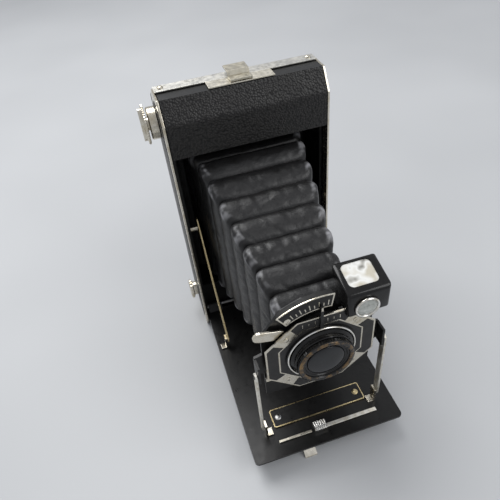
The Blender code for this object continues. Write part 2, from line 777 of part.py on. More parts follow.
def bed_tray():
    half_w = BED_W / 2
    front, rear = Y_FRONT - BED_L, depth(HINGE_DEPTH - BED_HEEL)
    low, top = BED_TOP - BED_T, BED_TOP
    rim = rounded((-half_w, front), (half_w, rear), BED_CORNER_R)
    round_front = [point for point in rim if point[1] < front + 2 * BED_CORNER_R]
    outline = [(half_w, rear), (-half_w, rear), *round_front]
    tray = plate("bed_tray", [outline], "Z", low, top, LEATHERETTE)
    edge, heel = Vector((front, top - BED_EDGE_T)), Vector((front + BED_FALL_D, low))
    fall = heel - edge
    start, end = edge - fall / 2, heel + fall / 2
    cut(tray, plate("cut_bed_front", [[start, end, (start[0], end[1])]], "X", -BODY_W, BODY_W))
    hollow_low = (BED_WALL - half_w, front + BED_FALL_D, low + BED_SKIN)
    cut(tray, box("cut_bed_hollow", hollow_low, (half_w - BED_WALL, rear + BED_T, top - BED_SKIN)))
    hinge = (HINGE_Y, HINGE_Z)
    root = [(rear - LUG_R, top - BED_SKIN / 2), (rear - BED_SKIN / 2, top - BED_SKIN / 2)]
    lug = hull(circle(hinge, LUG_R, 20) + root)
    lug_x = SLOT_HALF_W - CLEAR - LUG_W
    join(tray, plate("bed_lug_left", [lug], "X", -lug_x - LUG_W, -lug_x))
    join(tray, plate("bed_lug_right", [lug], "X", lug_x, lug_x + LUG_W))
    cut(tray, rod("cut_lugs", (-BODY_W, *hinge), (BODY_W, *hinge), PIN_R + CLEAR))
    pin_half = SLOT_HALF_W + SLOT_WALL / 2 - CLEAR
    rod("bed_hinge_pin", (-pin_half, *hinge), (pin_half, *hinge), PIN_R, STEEL, 12)
    return tray


def bed_fittings():
    base = BED_TOP + CLEAR
    front = Y_FRONT - BED_L
    strip_y = front + BED_STRIP_IN
    left_low, right_low = (BED_STRIP_LEFT[0], strip_y, base), (BED_STRIP_RIGHT[0], strip_y, base)
    left_high = (BED_STRIP_LEFT[1], strip_y + BED_STRIP_W, base + STRIP_T)
    right_high = (BED_STRIP_RIGHT[1], strip_y + BED_STRIP_RIGHT_W, base + STRIP_T)
    left = box("bed_strip_left", left_low, left_high, NICKEL)
    right = box("bed_strip_right", right_low, right_high, NICKEL)
    catch_front = strip_y - CATCH_OUT
    catch_low = (BED_STRIP_LEFT[1] + CATCH_TRAVEL, catch_front, base)
    catch_high = (BED_STRIP_RIGHT[0] - CLEAR, catch_front + CATCH_D, base + CATCH_H)
    catch = box("bed_catch", catch_low, catch_high, NICKEL, CLEAR)
    pivot("catch_axis", (0, strip_y, base), [catch])
    label_from = front + LABEL_IN
    sheet = rounded((LABEL_X[0], label_from), (LABEL_X[1], label_from + LABEL_D), LABEL_CORNER_R, 2)
    label = plate("blank_plate", [sheet], "Z", base, base + STRIP_T, ENAMEL)
    rivet_y = label_from + LABEL_D / 2
    for name, x in (("rivet_left", LABEL_X[0] + RIVET_IN), ("rivet_right", LABEL_X[1] - RIVET_IN)):
        rivet_ends = (x, rivet_y, base + STRIP_T / 2), (x, rivet_y, base + 2 * STRIP_T)
        join(label, rod(name, *rivet_ends, RIVET_R, steps=12))
    made = [left, right, label]
    arm_lane = ARM_X - ARM_T / 2 - CLEAR
    brace_lane = BRACE_X + BRACE_T / 2 + CLEAR
    for side, word in ((-1, "left"), (1, "right")):
        pin_end = ARM_X + ARM_T / 2 + CLEAR
        made.append(bracket("arm_bracket_" + word, side, arm_lane, -1, (PLATE_Y, ARM_FOOT_Z), pin_end))
        place, pin_end = (BRACE_FOOT_Y, BRACE_FOOT_Z), BRACE_X - BRACE_T / 2 - CLEAR
        made.append(bracket("brace_bracket_" + word, side, brace_lane, 1, place, pin_end))
    return made


def bracket(name, side, lane, away, place, pin_to):
    """A bent ear standing on the bed, its foot turned away from the lane, with a pin across the lane."""
    y, z = place
    base = BED_TOP + CLEAR
    back, toe = lane + away * EAR_T, lane + away * EAR_FOOT
    corner = [
        (lane, base),
        (lane, z + ARM_W / 2),
        (back, z + ARM_W / 2),
        (back, base + STRIP_T),
        (toe, base + STRIP_T),
        (toe, base),
    ]
    made = plate(name, [[(side * a, b) for a, b in corner]], "Y", y - ARM_W / 2, y + ARM_W / 2, NICKEL)
    middle = lane + away * EAR_T / 2
    join(made, rod(name + "_pin", (side * middle, y, z), (side * pin_to, y, z), PIN_R, steps=12))
    return made


def foot():
    y = Y_FRONT - BED_L + FOOT_IN
    eye_r = PIN_R + CLEAR + FOOT_T / 2
    z = BED_TOP - BED_T - CLEAR - eye_r
    low_x, high_x = FOOT_X - FOOT_W / 2, FOOT_X + FOOT_W / 2
    toe = y - FOOT_TOE
    outline = hull(circle((y, z), eye_r, 20) + [(toe, 0.0), (toe, FOOT_T / 2), (toe + FOOT_T, 0.0)])
    leg = plate("foot", [outline, circle((y, z), PIN_R + CLEAR, 12)], "X", low_x, high_x, NICKEL)
    pivot("foot_axis", (0, y, z), [leg])
    pin_low, pin_high = low_x - CLEAR - EAR_T / 2, high_x + CLEAR + EAR_T / 2
    hanger = rod("foot_bracket", (pin_low, y, z), (pin_high, y, z), PIN_R, NICKEL, 12)
    ear_low, ear_high = z - 1.5 * PIN_R, BED_TOP - BED_T - CLEAR
    for word, x in (("left", low_x - CLEAR - EAR_T), ("right", high_x + CLEAR)):
        ear = box("foot_ear_" + word, (x, y - eye_r, ear_low), (x + EAR_T, y + eye_r, ear_high))
        join(hanger, ear)
    return hanger


def arms():
    ends = (PLATE_Y, ARM_FOOT_Z), (PLATE_Y, ARM_TOP_Z)
    outlines = [bar_outline(*ends, ARM_W), *[circle(end, PIN_R + CLEAR, 12) for end in ends]]
    half_t = ARM_T / 2
    left = plate("arm_left", outlines, "X", -ARM_X - half_t, half_t - ARM_X, NICKEL)
    right = plate("arm_right", outlines, "X", ARM_X - half_t, ARM_X + half_t, NICKEL)
    pivot("arm_axis", (0, *ends[0]), [left, right])


def braces():
    start = Vector((BRACE_FOOT_Y, BRACE_FOOT_Z))
    lean = math.radians(BRACE_LEAN)
    way = Vector((math.cos(lean), math.sin(lean)))
    end = start + way * BRACE_L
    stud = end - way * BRACE_STUD_IN
    slot = bar_outline(start + way * BRACE_SLOT_FROM, end - way * BRACE_SLOT_END, BRACE_SLOT_W)
    outlines = [bar_outline(start, end, BRACE_W), circle(start, PIN_R + CLEAR, 12), slot]
    half_t = BRACE_T / 2
    left = plate("brace_left", outlines, "X", -BRACE_X - half_t, half_t - BRACE_X, NICKEL)
    right = plate("brace_right", outlines, "X", BRACE_X - half_t, BRACE_X + half_t, NICKEL)
    pivot("brace_axis", (0, *start), [left, right])
    near, wall = BRACE_X + half_t + CLEAR, SLOT_HALF_W - CLEAR
    for side, word in ((-1, "left"), (1, "right")):
        rod("brace_stud_" + word, (side * near, *stud), (side * wall, *stud), STUD_R, NICKEL, 12)


def polar(radius, degrees):
    turn = math.radians(degrees)
    return (radius * math.cos(turn), LENS_Z + radius * math.sin(turn))


def octagon(grow=0.0):
    quarter = [(OCT_HALF_W + grow, OCT_SIDE + grow * 0.4), (OCT_TOP + grow * 0.4, OCT_HALF_H + grow)]
    points = quarter + [(-x, z) for x, z in reversed(quarter)]
    points += [(-x, -z) for x, z in points]
    return [(x, LENS_Z + z) for x, z in points]


def lens_board():
    top = LENS_Z + BOARD_UP
    low = LENS_Z - BOARD_DOWN
    tab_x = ARM_X - ARM_T / 2 - 2 * CLEAR
    tab_low, tab_high = ARM_TOP_Z - ARM_W, ARM_TOP_Z + 2 * ARM_W
    flat = [
        (BOARD_HALF_W, low),
        (BOARD_HALF_W, tab_low - EAR_T),
        (tab_x, tab_low),
        (tab_x, tab_high),
        (BOARD_HALF_W, tab_high + EAR_T),
        (BOARD_HALF_W, top),
        (OCT_TOP - EAR_T, top),
        polar(SCALE_OUT_R - SCALE_BACK_IN, SCALE_FROM),
        polar(SCALE_OUT_R - SCALE_BACK_IN, (SCALE_FROM + SCALE_TO) / 2),
        polar(SCALE_OUT_R - SCALE_BACK_IN, SCALE_BACK_TO),
        (-BOARD_HALF_W, top - OCT_SIDE / 3),
        (-BOARD_HALF_W, tab_high + EAR_T),
        (-tab_x, tab_high),
        (-tab_x, tab_low),
        (-BOARD_HALF_W, tab_low - EAR_T),
        (-BOARD_HALF_W, low),
    ]
    rear = BOARD_Y + BOARD_T
    board = plate("lens_board", [flat, circle((0, LENS_Z), TUBE_R)], "Y", BOARD_Y, rear, ENAMEL)
    flange_out = ARM_X - ARM_T / 2 - CLEAR
    flange_y = (PLATE_Y - ARM_W / 2, rear - BOARD_T / 2)
    for side, word in ((-1, "left"), (1, "right")):
        x_low, x_high = sorted((side * (flange_out - EAR_T), side * flange_out))
        flange_low = (x_low, flange_y[0], tab_low + CLEAR)
        join(board, box("board_flange_" + word, flange_low, (x_high, flange_y[1], tab_high - CLEAR)))
        pin_from, pin_to = side * (flange_out - EAR_T / 2), side * (ARM_X + ARM_T / 2 + CLEAR)
        pin_ends = (pin_from, PLATE_Y, ARM_TOP_Z), (pin_to, PLATE_Y, ARM_TOP_Z)
        join(board, rod("board_pin_" + word, *pin_ends, PIN_R, steps=12))
    return board


def shutter():
    front = PLATE_Y
    case_front = front + OCT_T + CLEAR
    case_rear = case_front + CASE_T
    axis = (0, LENS_Z)
    bore = circle(axis, TUBE_R)
    face = plate("octagon_face", [octagon(), bore], "Y", front, front + OCT_T, ENAMEL)
    case = plate("shutter_case", [circle(axis, CASE_R, 32), bore], "Y", case_front, case_rear, ENAMEL)
    rear_ends = (0, case_front + CLEAR, LENS_Z), (0, case_rear - CLEAR, LENS_Z)
    rear_glass = rod("rear_lens", *rear_ends, TUBE_R - CLEAR, GLASS, 24)
    turns = [SCALE_FROM + (SCALE_TO - SCALE_FROM) * i / 10 for i in range(11)]
    arc = [polar(SCALE_OUT_R, t) for t in turns] + [polar(SCALE_IN_R, t) for t in reversed(turns)]
    scale = plate("stop_scale", [arc], "Y", front + OCT_T / 2, BOARD_Y - CLEAR, ENAMEL)
    socket_y = (case_front + case_rear) / 2
    socket_x = -math.sqrt(CASE_R**2 - (SOCKET_DROP - SOCKET_R) ** 2) - CLEAR
    socket_z = LENS_Z - SOCKET_DROP
    socket_ends = (socket_x, socket_y, socket_z), (socket_x - SOCKET_L, socket_y, socket_z)
    socket = rod("cable_socket", *socket_ends, SOCKET_R, NICKEL, 12)
    hub = polar(CASE_R + RELEASE_W / 2 + CLEAR, RELEASE_TURN)
    tip = polar(CASE_R + RELEASE_L, RELEASE_TURN + RELEASE_BEND)
    lever_y = case_front + CLEAR
    lever = bar_outline(hub, tip, RELEASE_W)
    release = plate("release_lever", [lever], "Y", lever_y, lever_y + EAR_T, NICKEL)
    pivot("release_axis", (hub[0], front, hub[1]), [release])
    return [face, case, rear_glass, scale, socket]


def stop_lever():
    """A ring round the lens barrel with a pointer that runs along the scale."""
    inner = BARREL_R + CLEAR
    outer = inner + POINTER_RING_W
    rest = SCALE_FROM + POINTER_REST
    spread = math.degrees(POINTER_W / 2 / outer)
    turns = [rest + spread + (360.0 - 2 * spread) * i / 32 for i in range(33)]
    tip = SCALE_IN_R + POINTER_W
    tip_spread = math.degrees(POINTER_TIP_W / 2 / tip)
    ring = [polar(outer, t) for t in turns] + [polar(tip, rest - tip_spread), polar(tip, rest + tip_spread)]
    rear = PLATE_Y - CLEAR
    lever = plate("stop_lever", [ring, circle((0, LENS_Z), inner, 32)], "Y", rear - STRIP_T, rear, NICKEL)
    pivot("stop_axis", (0, PLATE_Y, LENS_Z), [lever])


def lens():
    centre = (0, PLATE_Y, LENS_Z)
    near, far = CLEAR, CLEAR + BARREL_L
    lip, shoulder = BARREL_R - BARREL_EASE, far - BARREL_EASE
    profile = [(lip, far), (BARREL_R, shoulder), (BARREL_R, near), (TUBE_R, near), (TUBE_R, far)]
    barrel = turned("lens_barrel", profile, centre, "-Y", ENAMEL)
    near, far = far + CLEAR, far + CLEAR + FOCUS_L
    bore_r = LENS_R + CLEAR
    lip, shoulder = FOCUS_R - FOCUS_EASE, far - FOCUS_EASE
    profile = [(lip, far), (FOCUS_R, shoulder), (FOCUS_R, near), (bore_r, near), (bore_r, far)]
    ring = turned("focus_ring", profile, centre, "-Y", ENAMEL)
    brow = far - LENS_SINK - LENS_DOME
    rises = [math.pi / 2 * i / 4 for i in range(5)]
    dome = [(LENS_R * math.sin(t), brow + LENS_DOME * math.cos(t)) for t in rises]
    glass = turned("front_lens", dome + [(LENS_R, near), (0.0, near)], centre, "-Y", GLASS, 24)
    pivot("focus_axis", centre, [ring, glass])
    return barrel


def finder():
    low_x, high_x = FINDER_X - FINDER_W / 2, FINDER_X + FINDER_W / 2
    front = Y_FRONT - FINDER_FRONT
    rear = front + FINDER_D
    low, top = BED_TOP + FINDER_RISE, BED_TOP + FINDER_RISE + FINDER_H
    wall = FINDER_WALL
    # The roof rises towards the rear, and the rear wall leans over the bellows with the mirror on it
    floor_end, eaves = front + FINDER_FLOOR_D, top + FINDER_SLOPE
    lean = (eaves - FINDER_BACK_H - low) / (rear - floor_end)
    stretch = math.hypot(1.0, lean)

    def roof(y):
        return top + FINDER_SLOPE * (y - front) / FINDER_D

    def ramp(y, off):
        return low + lean * (y - floor_end) + off * stretch

    def ramp_y(z, off):
        return floor_end + (z - low - off * stretch) / lean

    side = [(front, low), (floor_end, low), (rear, ramp(rear, 0.0)), (rear, eaves), (front, top)]
    shell = plate("finder_body", [side], "X", low_x, high_x, ENAMEL)
    in_front, in_rear, in_low = front + wall, rear - wall, low + wall
    inside = [
        (in_front, in_low),
        (ramp_y(in_low, wall), in_low),
        (in_rear, ramp(in_rear, wall)),
        (in_rear, eaves + wall),
        (in_front, eaves + wall),
    ]
    cut(shell, plate("cut_finder", [inside], "X", low_x + wall, high_x - wall))
    gap = CLEAR + CLEAR / 3
    cut(shell, plate("cut_finder_face", [octagon(gap)], "Y", PLATE_Y - gap, PLATE_Y + OCT_T + gap))
    lens_x, lens_z = FINDER_X - FINDER_WALL, low + FINDER_LENS_R - wall / 2
    eye_r = FINDER_LENS_R - wall
    eye_from, eye_to = (lens_x, front - wall, lens_z), (lens_x, front + 2 * wall, lens_z)
    cut(shell, rod("cut_finder_eye", eye_from, eye_to, eye_r, steps=24))
    rings = [circle((lens_x, lens_z), FINDER_LENS_R), circle((lens_x, lens_z), eye_r)]
    bezel = plate("finder_bezel", rings, "Y", front - CLEAR - wall, front - CLEAR, NICKEL)
    eye_ends = (lens_x, front - wall, lens_z), (lens_x, front + wall - CLEAR, lens_z)
    eye = rod("finder_lens", *eye_ends, eye_r - CLEAR, GLASS, 24)
    margin = wall + CLEAR
    near, far = front + margin, rear - margin
    sheet = [(y, roof(y) - CLEAR - drop) for y, drop in ((near, wall), (far, wall), (far, 0.0), (near, 0.0))]
    pane = plate("finder_window", [sheet], "X", low_x + margin, high_x - margin, GLASS)
    foot_z = low + margin
    under, over = margin, margin + MIRROR_T
    tilt = [
        (ramp_y(foot_z, under), foot_z),
        (far, ramp(far, under)),
        (far, ramp(far, over)),
        (ramp_y(foot_z, over), foot_z),
    ]
    mirror = plate("finder_mirror", [tilt], "X", low_x + margin, high_x - margin, MIRROR)
    return [shell, bezel, eye, pane, mirror]


def build():
    body_shell()
    side_plates()
    film_gate()
    rear = bellows_rear_frame()
    bellows(rear - BELLOWS_WALL, BOARD_Y + BOARD_T + CLEAR)
    winder()
    supply()
    back_cover()
    back_hinge()
    top_fittings()
    tripod_bush()
    pivot("bed_axis", (0, HINGE_Y, HINGE_Z), [bed_tray(), *bed_fittings(), foot()])
    arms()
    braces()
    stop_lever()
    standard = [lens_board(), *shutter(), lens(), *finder()]
    pivot("standard_axis", (0, PLATE_Y, ARM_TOP_Z), standard)


build()
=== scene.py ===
"""Looks for a single-lens folding roll-film camera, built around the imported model.

Metres, +Z up, the lens looks along -Y.
"""
import json
import math

import bmesh
import bpy
from mathutils import Matrix, Vector, noise

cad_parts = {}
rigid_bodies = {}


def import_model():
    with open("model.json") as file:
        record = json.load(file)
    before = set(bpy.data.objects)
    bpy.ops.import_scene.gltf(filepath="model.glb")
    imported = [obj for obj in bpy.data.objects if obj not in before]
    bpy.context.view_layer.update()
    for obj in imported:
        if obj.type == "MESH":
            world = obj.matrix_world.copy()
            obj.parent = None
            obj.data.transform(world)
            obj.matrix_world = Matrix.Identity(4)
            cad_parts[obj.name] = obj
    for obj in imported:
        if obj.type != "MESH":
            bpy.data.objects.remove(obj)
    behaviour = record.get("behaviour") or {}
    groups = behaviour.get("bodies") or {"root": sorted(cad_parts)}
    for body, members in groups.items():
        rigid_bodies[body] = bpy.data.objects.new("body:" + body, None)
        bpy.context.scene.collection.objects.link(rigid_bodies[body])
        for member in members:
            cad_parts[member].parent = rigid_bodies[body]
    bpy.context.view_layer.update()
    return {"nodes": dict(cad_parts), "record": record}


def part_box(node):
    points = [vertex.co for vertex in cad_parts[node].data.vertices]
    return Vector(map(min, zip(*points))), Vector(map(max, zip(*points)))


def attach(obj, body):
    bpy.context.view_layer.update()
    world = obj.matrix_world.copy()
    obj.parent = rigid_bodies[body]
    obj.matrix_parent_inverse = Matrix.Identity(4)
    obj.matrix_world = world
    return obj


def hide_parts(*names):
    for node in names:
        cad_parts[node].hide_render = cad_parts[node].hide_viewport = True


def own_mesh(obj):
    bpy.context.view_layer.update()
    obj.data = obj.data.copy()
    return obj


for item in list(bpy.data.objects):
    bpy.data.objects.remove(item, do_unlink=True)

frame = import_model()
NODES = frame["nodes"]
MM = 0.001
# Edges that turn by more than this count as sharp
SHARP = math.radians(35)
# Edge width of a thin sheet
THIN = 0.03 * MM
# Angles from the middle of a lens to its edge
DOME = [0.157 * i for i in range(11)]
# Corners of the shutter plate, from the lens axis
PLATE_HALF_W, PLATE_HALF_H = 23.7 * MM, 21.2 * MM
PLATE_SIDE, PLATE_TOP = 9.0 * MM, 10.0 * MM


def low_high(node):
    low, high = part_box(node)
    return Vector(low), Vector(high)


def centre_of(node):
    low, high = low_high(node)
    return (low + high) / 2


# Materials


class Surface:
    """A Principled material and the nodes that feed it."""

    def __init__(self, name, colour, roughness, metallic=0.0):
        self.material = bpy.data.materials.new(name)
        self.material.use_nodes = True
        self.tree = self.material.node_tree
        self.shader = self.tree.nodes["Principled BSDF"]
        self.set("Base Color", (*colour, 1.0))
        self.set("Roughness", roughness)
        self.set("Metallic", metallic)
        self.place = self.node("ShaderNodeTexCoord").outputs["Object"]

    def node(self, kind, **inputs):
        made = self.tree.nodes.new(kind)
        for key, value in inputs.items():
            made.inputs[key.replace("_", " ")].default_value = value
        return made

    def link(self, output, socket):
        self.tree.links.new(output, socket)

    def set(self, name, value):
        self.shader.inputs[name].default_value = value

    def noise(self, size, detail=3.0, roughness=0.55):
        """A noise whose features are about size metres wide."""
        made = self.node("ShaderNodeTexNoise", Scale=1.0 / size, Detail=detail, Roughness=roughness)
        self.link(self.place, made.inputs["Vector"])
        return made.outputs["Fac"]

    def cells(self, size, smooth=0.35):
        made = self.tree.nodes.new("ShaderNodeTexVoronoi")
        made.feature = "SMOOTH_F1"
        made.inputs["Scale"].default_value = 1.0 / size
        made.inputs["Smoothness"].default_value = smooth
        self.link(self.place, made.inputs["Vector"])
        return made.outputs["Distance"]

    def ramp(self, value, stops):
        made = self.tree.nodes.new("ShaderNodeValToRGB")
        while len(made.color_ramp.elements) < len(stops):
            made.color_ramp.elements.new(0.5)
        for element, (position, colour) in zip(made.color_ramp.elements, stops):
            element.position = position
            element.color = (*colour, 1.0)
        self.link(value, made.inputs["Fac"])
        return made.outputs["Color"]

    def shades(self, value, low, high, near=0.35, far=0.65):
        """Base colour from one shade to another along a value."""
        self.link(self.ramp(value, [(near, low), (far, high)]), self.shader.inputs["Base Color"])

    def roughen(self, value, low, high):
        made = self.node("ShaderNodeMapRange")
        made.inputs["From Min"].default_value = 0.3
        made.inputs["From Max"].default_value = 0.7
        made.inputs["To Min"].default_value = low
        made.inputs["To Max"].default_value = high
        self.link(value, made.inputs["Value"])
        self.link(made.outputs["Result"], self.shader.inputs["Roughness"])

    def bump(self, *layers):
        """Layers of (value, depth in metres, strength), the first one lowest."""
        normal = None
        for value, depth, strength in layers:
            made = self.node("ShaderNodeBump", Strength=strength, Distance=depth)
            self.link(value, made.inputs["Height"])
            if normal is not None:
                self.link(normal, made.inputs["Normal"])
            normal = made.outputs["Normal"]
        self.link(normal, self.shader.inputs["Normal"])


def leatherette():
    made = Surface("pebbled_leatherette", (0.02, 0.019, 0.018), 0.5)
    made.set("Specular IOR Level", 0.34)
    grain = made.cells(0.9 * MM)
    patches = made.noise(9 * MM)
    made.shades(grain, (0.024, 0.0225, 0.021), (0.005, 0.0048, 0.0046), 0.15, 0.75)
    made.roughen(patches, 0.34, 0.5)
    made.bump((grain, -0.35 * MM, 0.9), (made.noise(0.25 * MM), 0.05 * MM, 0.5))
    return made.material


def enamel(name="black_enamel", shade=0.008, gloss=0.3):
    made = Surface(name, (shade, shade, shade), gloss)
    made.set("Specular IOR Level", 0.3)
    dust = made.noise(1.4 * MM, 5.0)
    made.shades(dust, (shade * 0.85,) * 3, (shade * 1.35, shade * 1.3, shade * 1.25), 0.35, 0.8)
    made.roughen(made.noise(3 * MM, 4.0), gloss * 0.9, gloss * 1.3)
    made.bump((made.noise(0.5 * MM, 2.0), 0.02 * MM, 0.25))
    return made.material


def nickel(name="nickel", tint=(0.70, 0.66, 0.57), gloss=0.2, stain=1.0):
    made = Surface(name, tint, gloss, 1.0)
    cloud = made.noise(4 * MM, 6.0, 0.65)
    dull = tuple(channel * (1.0 - stain * share) for channel, share in zip(tint, (0.22, 0.26, 0.34)))
    made.link(made.ramp(cloud, [(0.36, dull), (0.54, tint)]), made.shader.inputs["Base Color"])
    made.roughen(made.noise(1.6 * MM, 4.0), gloss * 0.8, gloss * 1.5)
    made.bump((made.noise(0.4 * MM, 3.0), 0.02 * MM, 0.2 * stain))
    return made.material


def bellows_leather():
    made = Surface("bellows_leather", (0.05, 0.048, 0.047), 0.5)
    made.set("Specular IOR Level", 0.42)
    crease = made.noise(5 * MM, 6.0, 0.7)
    fine = made.noise(0.7 * MM, 4.0)
    # The light grey mixed in by this attribute is painted glints on the pleat crest corners, together with
    # real corner wear
    glint_wear_attribute = made.tree.nodes.new("ShaderNodeAttribute")
    glint_wear_attribute.attribute_name = "corner_glint_and_wear"
    base = made.ramp(crease, [(0.3, (0.008, 0.0078, 0.0079)), (0.7, (0.014, 0.0137, 0.014))])
    mix = made.tree.nodes.new("ShaderNodeMix")
    mix.data_type = "RGBA"
    made.link(glint_wear_attribute.outputs["Fac"], mix.inputs["Factor"])
    made.link(base, mix.inputs["A"])
    mix.inputs["B"].default_value = (0.26, 0.26, 0.27, 1.0)
    made.link(mix.outputs["Result"], made.shader.inputs["Base Color"])
    made.roughen(fine, 0.26, 0.46)
    made.bump((crease, 0.6 * MM, 0.5), (fine, 0.12 * MM, 0.5))
    return made.material


def glass(name, tint=(1.0, 1.0, 1.0), gloss=0.02):
    made = Surface(name, tint, gloss)
    made.set("Transmission Weight", 0.2)
    made.set("IOR", 1.45)
    made.shades(made.noise(7 * MM, 2.0), tuple(c * 0.7 for c in tint), tuple(c * 1.3 for c in tint))
    made.roughen(made.noise(6 * MM), gloss * 0.7, gloss * 1.6)
    return made.material


LEATHER = leatherette()
ENAMEL = enamel()
MATT = enamel("matt_black", 0.008, 0.5)
PANEL = enamel("panel_enamel", 0.02, 0.34)
NICKEL = nickel()
BRIGHT = nickel("bright_nickel", (0.86, 0.85, 0.82), 0.16)
BRASS = nickel("worn_brass", (0.68, 0.56, 0.32), 0.26)
SHEET = nickel("sheet_nickel", (0.60, 0.59, 0.55), 0.36, 0.35)
CLIP = nickel("clip_nickel", (0.50, 0.47, 0.39), 0.34, 0.5)
PLATE = nickel("latch_nickel", (0.74, 0.70, 0.60), 0.3, 0.35)
SATIN = nickel("satin_nickel", (0.80, 0.78, 0.72), 0.42)
STEEL = nickel("plain_steel", (0.45, 0.45, 0.45), 0.34)
BELLOWS = bellows_leather()
LENS = glass("lens_glass", (0.012, 0.013, 0.015), 0.05)
MIRROR = nickel("silvered_mirror", (0.86, 0.87, 0.86), 0.08)


def finder_glass_painted_reflection():
    made = Surface("finder_glass_painted_reflection", (0.62, 0.63, 0.60), 0.12)
    made.set("Transmission Weight", 0.2)
    made.set("IOR", 1.5)
    # The base colour is a painted reflection: streaks from dark through white to tan stand for a bright
    # surround mirrored in the finder's top glass
    cloud = made.noise(8 * MM, 2.0)
    stops = [
        (0.36, (0.10, 0.10, 0.09)),
        (0.44, (0.55, 0.54, 0.50)),
        (0.50, (0.90, 0.90, 0.87)),
        (0.64, (0.62, 0.58, 0.48)),
    ]
    made.link(made.ramp(cloud, stops), made.shader.inputs["Base Color"])
    made.roughen(made.noise(7 * MM), 0.06, 0.16)
    return made.material


def red_glass():
    made = Surface("red_window", (0.32, 0.012, 0.01), 0.14)
    made.shades(made.noise(3 * MM), (0.26, 0.008, 0.008), (0.40, 0.018, 0.014))
    made.roughen(made.noise(2 * MM), 0.08, 0.22)
    return made.material


def rubbed_enamel():
    """Black paint with the brass showing where it is rubbed."""
    made = Surface("rubbed_enamel", (0.012, 0.011, 0.01), 0.3)
    patches = made.noise(5.0 * MM, 6.0, 0.7)
    bare = made.ramp(patches, [(0.46, (0.0, 0.0, 0.0)), (0.60, (1.0, 1.0, 1.0))])
    colour = made.ramp(patches, [(0.46, (0.012, 0.011, 0.010)), (0.60, (0.26, 0.17, 0.085))])
    made.link(colour, made.shader.inputs["Base Color"])
    made.link(bare, made.shader.inputs["Metallic"])
    made.roughen(made.noise(1.0 * MM), 0.2, 0.38)
    return made.material


def pale_glass():
    made = Surface("pale_glass", (0.62, 0.64, 0.60), 0.08)
    made.set("Transmission Weight", 0.35)
    made.set("IOR", 1.5)
    made.shades(made.noise(3 * MM, 2.0), (0.42, 0.44, 0.41), (0.78, 0.80, 0.75))
    made.roughen(made.noise(4 * MM), 0.04, 0.12)
    return made.material


PANE_PAINTED_REFLECTION = finder_glass_painted_reflection()
PALE = pale_glass()
RED = red_glass()
RUBBED = rubbed_enamel()
GLOSS = enamel("finder_enamel", 0.009, 0.14)
BY_SLOT = {
    "covered_metal": LEATHER,
    "black_enamel": ENAMEL,
    "nickel": NICKEL,
    "bellows_leather": BELLOWS,
    "lens_glass": LENS,
    "red_window": RED,
    "mirror": MIRROR,
    "steel": STEEL,
}
SLOT_OF = {entry["node"]: entry["material_slot"] for entry in frame["record"]["subparts"]}
OWN_LOOK = {
    "body_shell": ENAMEL,
    "bed_tray": ENAMEL,
    "side_plate_left": NICKEL,
    "side_plate_right": NICKEL,
    "film_gate": MATT,
    "bellows_rear_frame": MATT,
    "top_strip": SHEET,
    "latch_plate": PLATE,
    "latch_clip": CLIP,
    "bed_strip_left": PLATE,
    "bed_strip_right": SATIN,
    "arm_left": SATIN,
    "arm_right": SATIN,
    "brace_left": BRASS,
    "brace_right": BRASS,
    "shutter_case": MATT,
}
EASED = (
    "top_strip latch_plate latch_clip bed_strip_left bed_strip_right arm_left arm_right "
    "brace_left brace_right arm_bracket_left arm_bracket_right brace_bracket_left "
    "brace_bracket_right foot release_lever side_plate_left side_plate_right "
    "back_hinge_bracket_left back_hinge_bracket_right"
).split()


def dress_nodes():
    for name, node in NODES.items():
        look = OWN_LOOK.get(name, BY_SLOT[SLOT_OF[name]])
        if not node.material_slots:
            node.data.materials.append(look)
        for place in node.material_slots:
            place.material = look
        if name in EASED:
            ease(node, 0.14 * MM, weld=True)


# Shapes


def ease(item, width, segments=2, weld=False):
    """Rounds the sharp edges of a piece."""
    if weld:
        join = item.modifiers.new("weld", "WELD")
        join.merge_threshold = 0.01 * MM
    bevel = item.modifiers.new("edges", "BEVEL")
    bevel.width = width
    bevel.segments = segments
    bevel.limit_method = "ANGLE"
    bevel.angle_limit = SHARP


def finish_mesh(name, shape, look, body, replaced=(), sharp=SHARP):
    """Makes a piece of a bmesh, which rides on a body."""
    bmesh.ops.recalc_face_normals(shape, faces=shape.faces)
    mesh = bpy.data.meshes.new(name)
    shape.to_mesh(mesh)
    shape.free()
    mesh.materials.append(look)
    mesh.shade_smooth()
    mesh.set_sharp_from_angle(angle=sharp)
    made = bpy.data.objects.new(name, mesh)
    bpy.context.scene.collection.objects.link(made)
    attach(made, body)
    if replaced:
        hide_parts(*replaced)
    return made


def cut_away(item, *tools):
    """Cuts shapes out of a piece for good."""
    cutters = []
    for number, tool in enumerate(tools):
        mesh = bpy.data.meshes.new("tool")
        tool.to_mesh(mesh)
        tool.free()
        cutter = bpy.data.objects.new("tool", mesh)
        bpy.context.scene.collection.objects.link(cutter)
        change = item.modifiers.new("cut_%d" % number, "BOOLEAN")
        change.object = cutter
        change.operation = "DIFFERENCE"
        cutters.append(cutter)
    bpy.context.view_layer.update()
    fresh = bpy.data.meshes.new_from_object(item.evaluated_get(bpy.context.evaluated_depsgraph_get()))
    item.modifiers.clear()
    item.data = fresh
    fresh.set_sharp_from_angle(angle=SHARP)
    for cutter in cutters:
        bpy.data.objects.remove(cutter, do_unlink=True)


# A turned shape's height runs out of the named side
TURNS = {
    "-Y": Matrix.Rotation(math.pi / 2, 4, "X"),
    "+X": Matrix.Rotation(math.pi / 2, 4, "Y"),
    "-X": Matrix.Rotation(-math.pi / 2, 4, "Y"),
    "+Z": Matrix(),
}


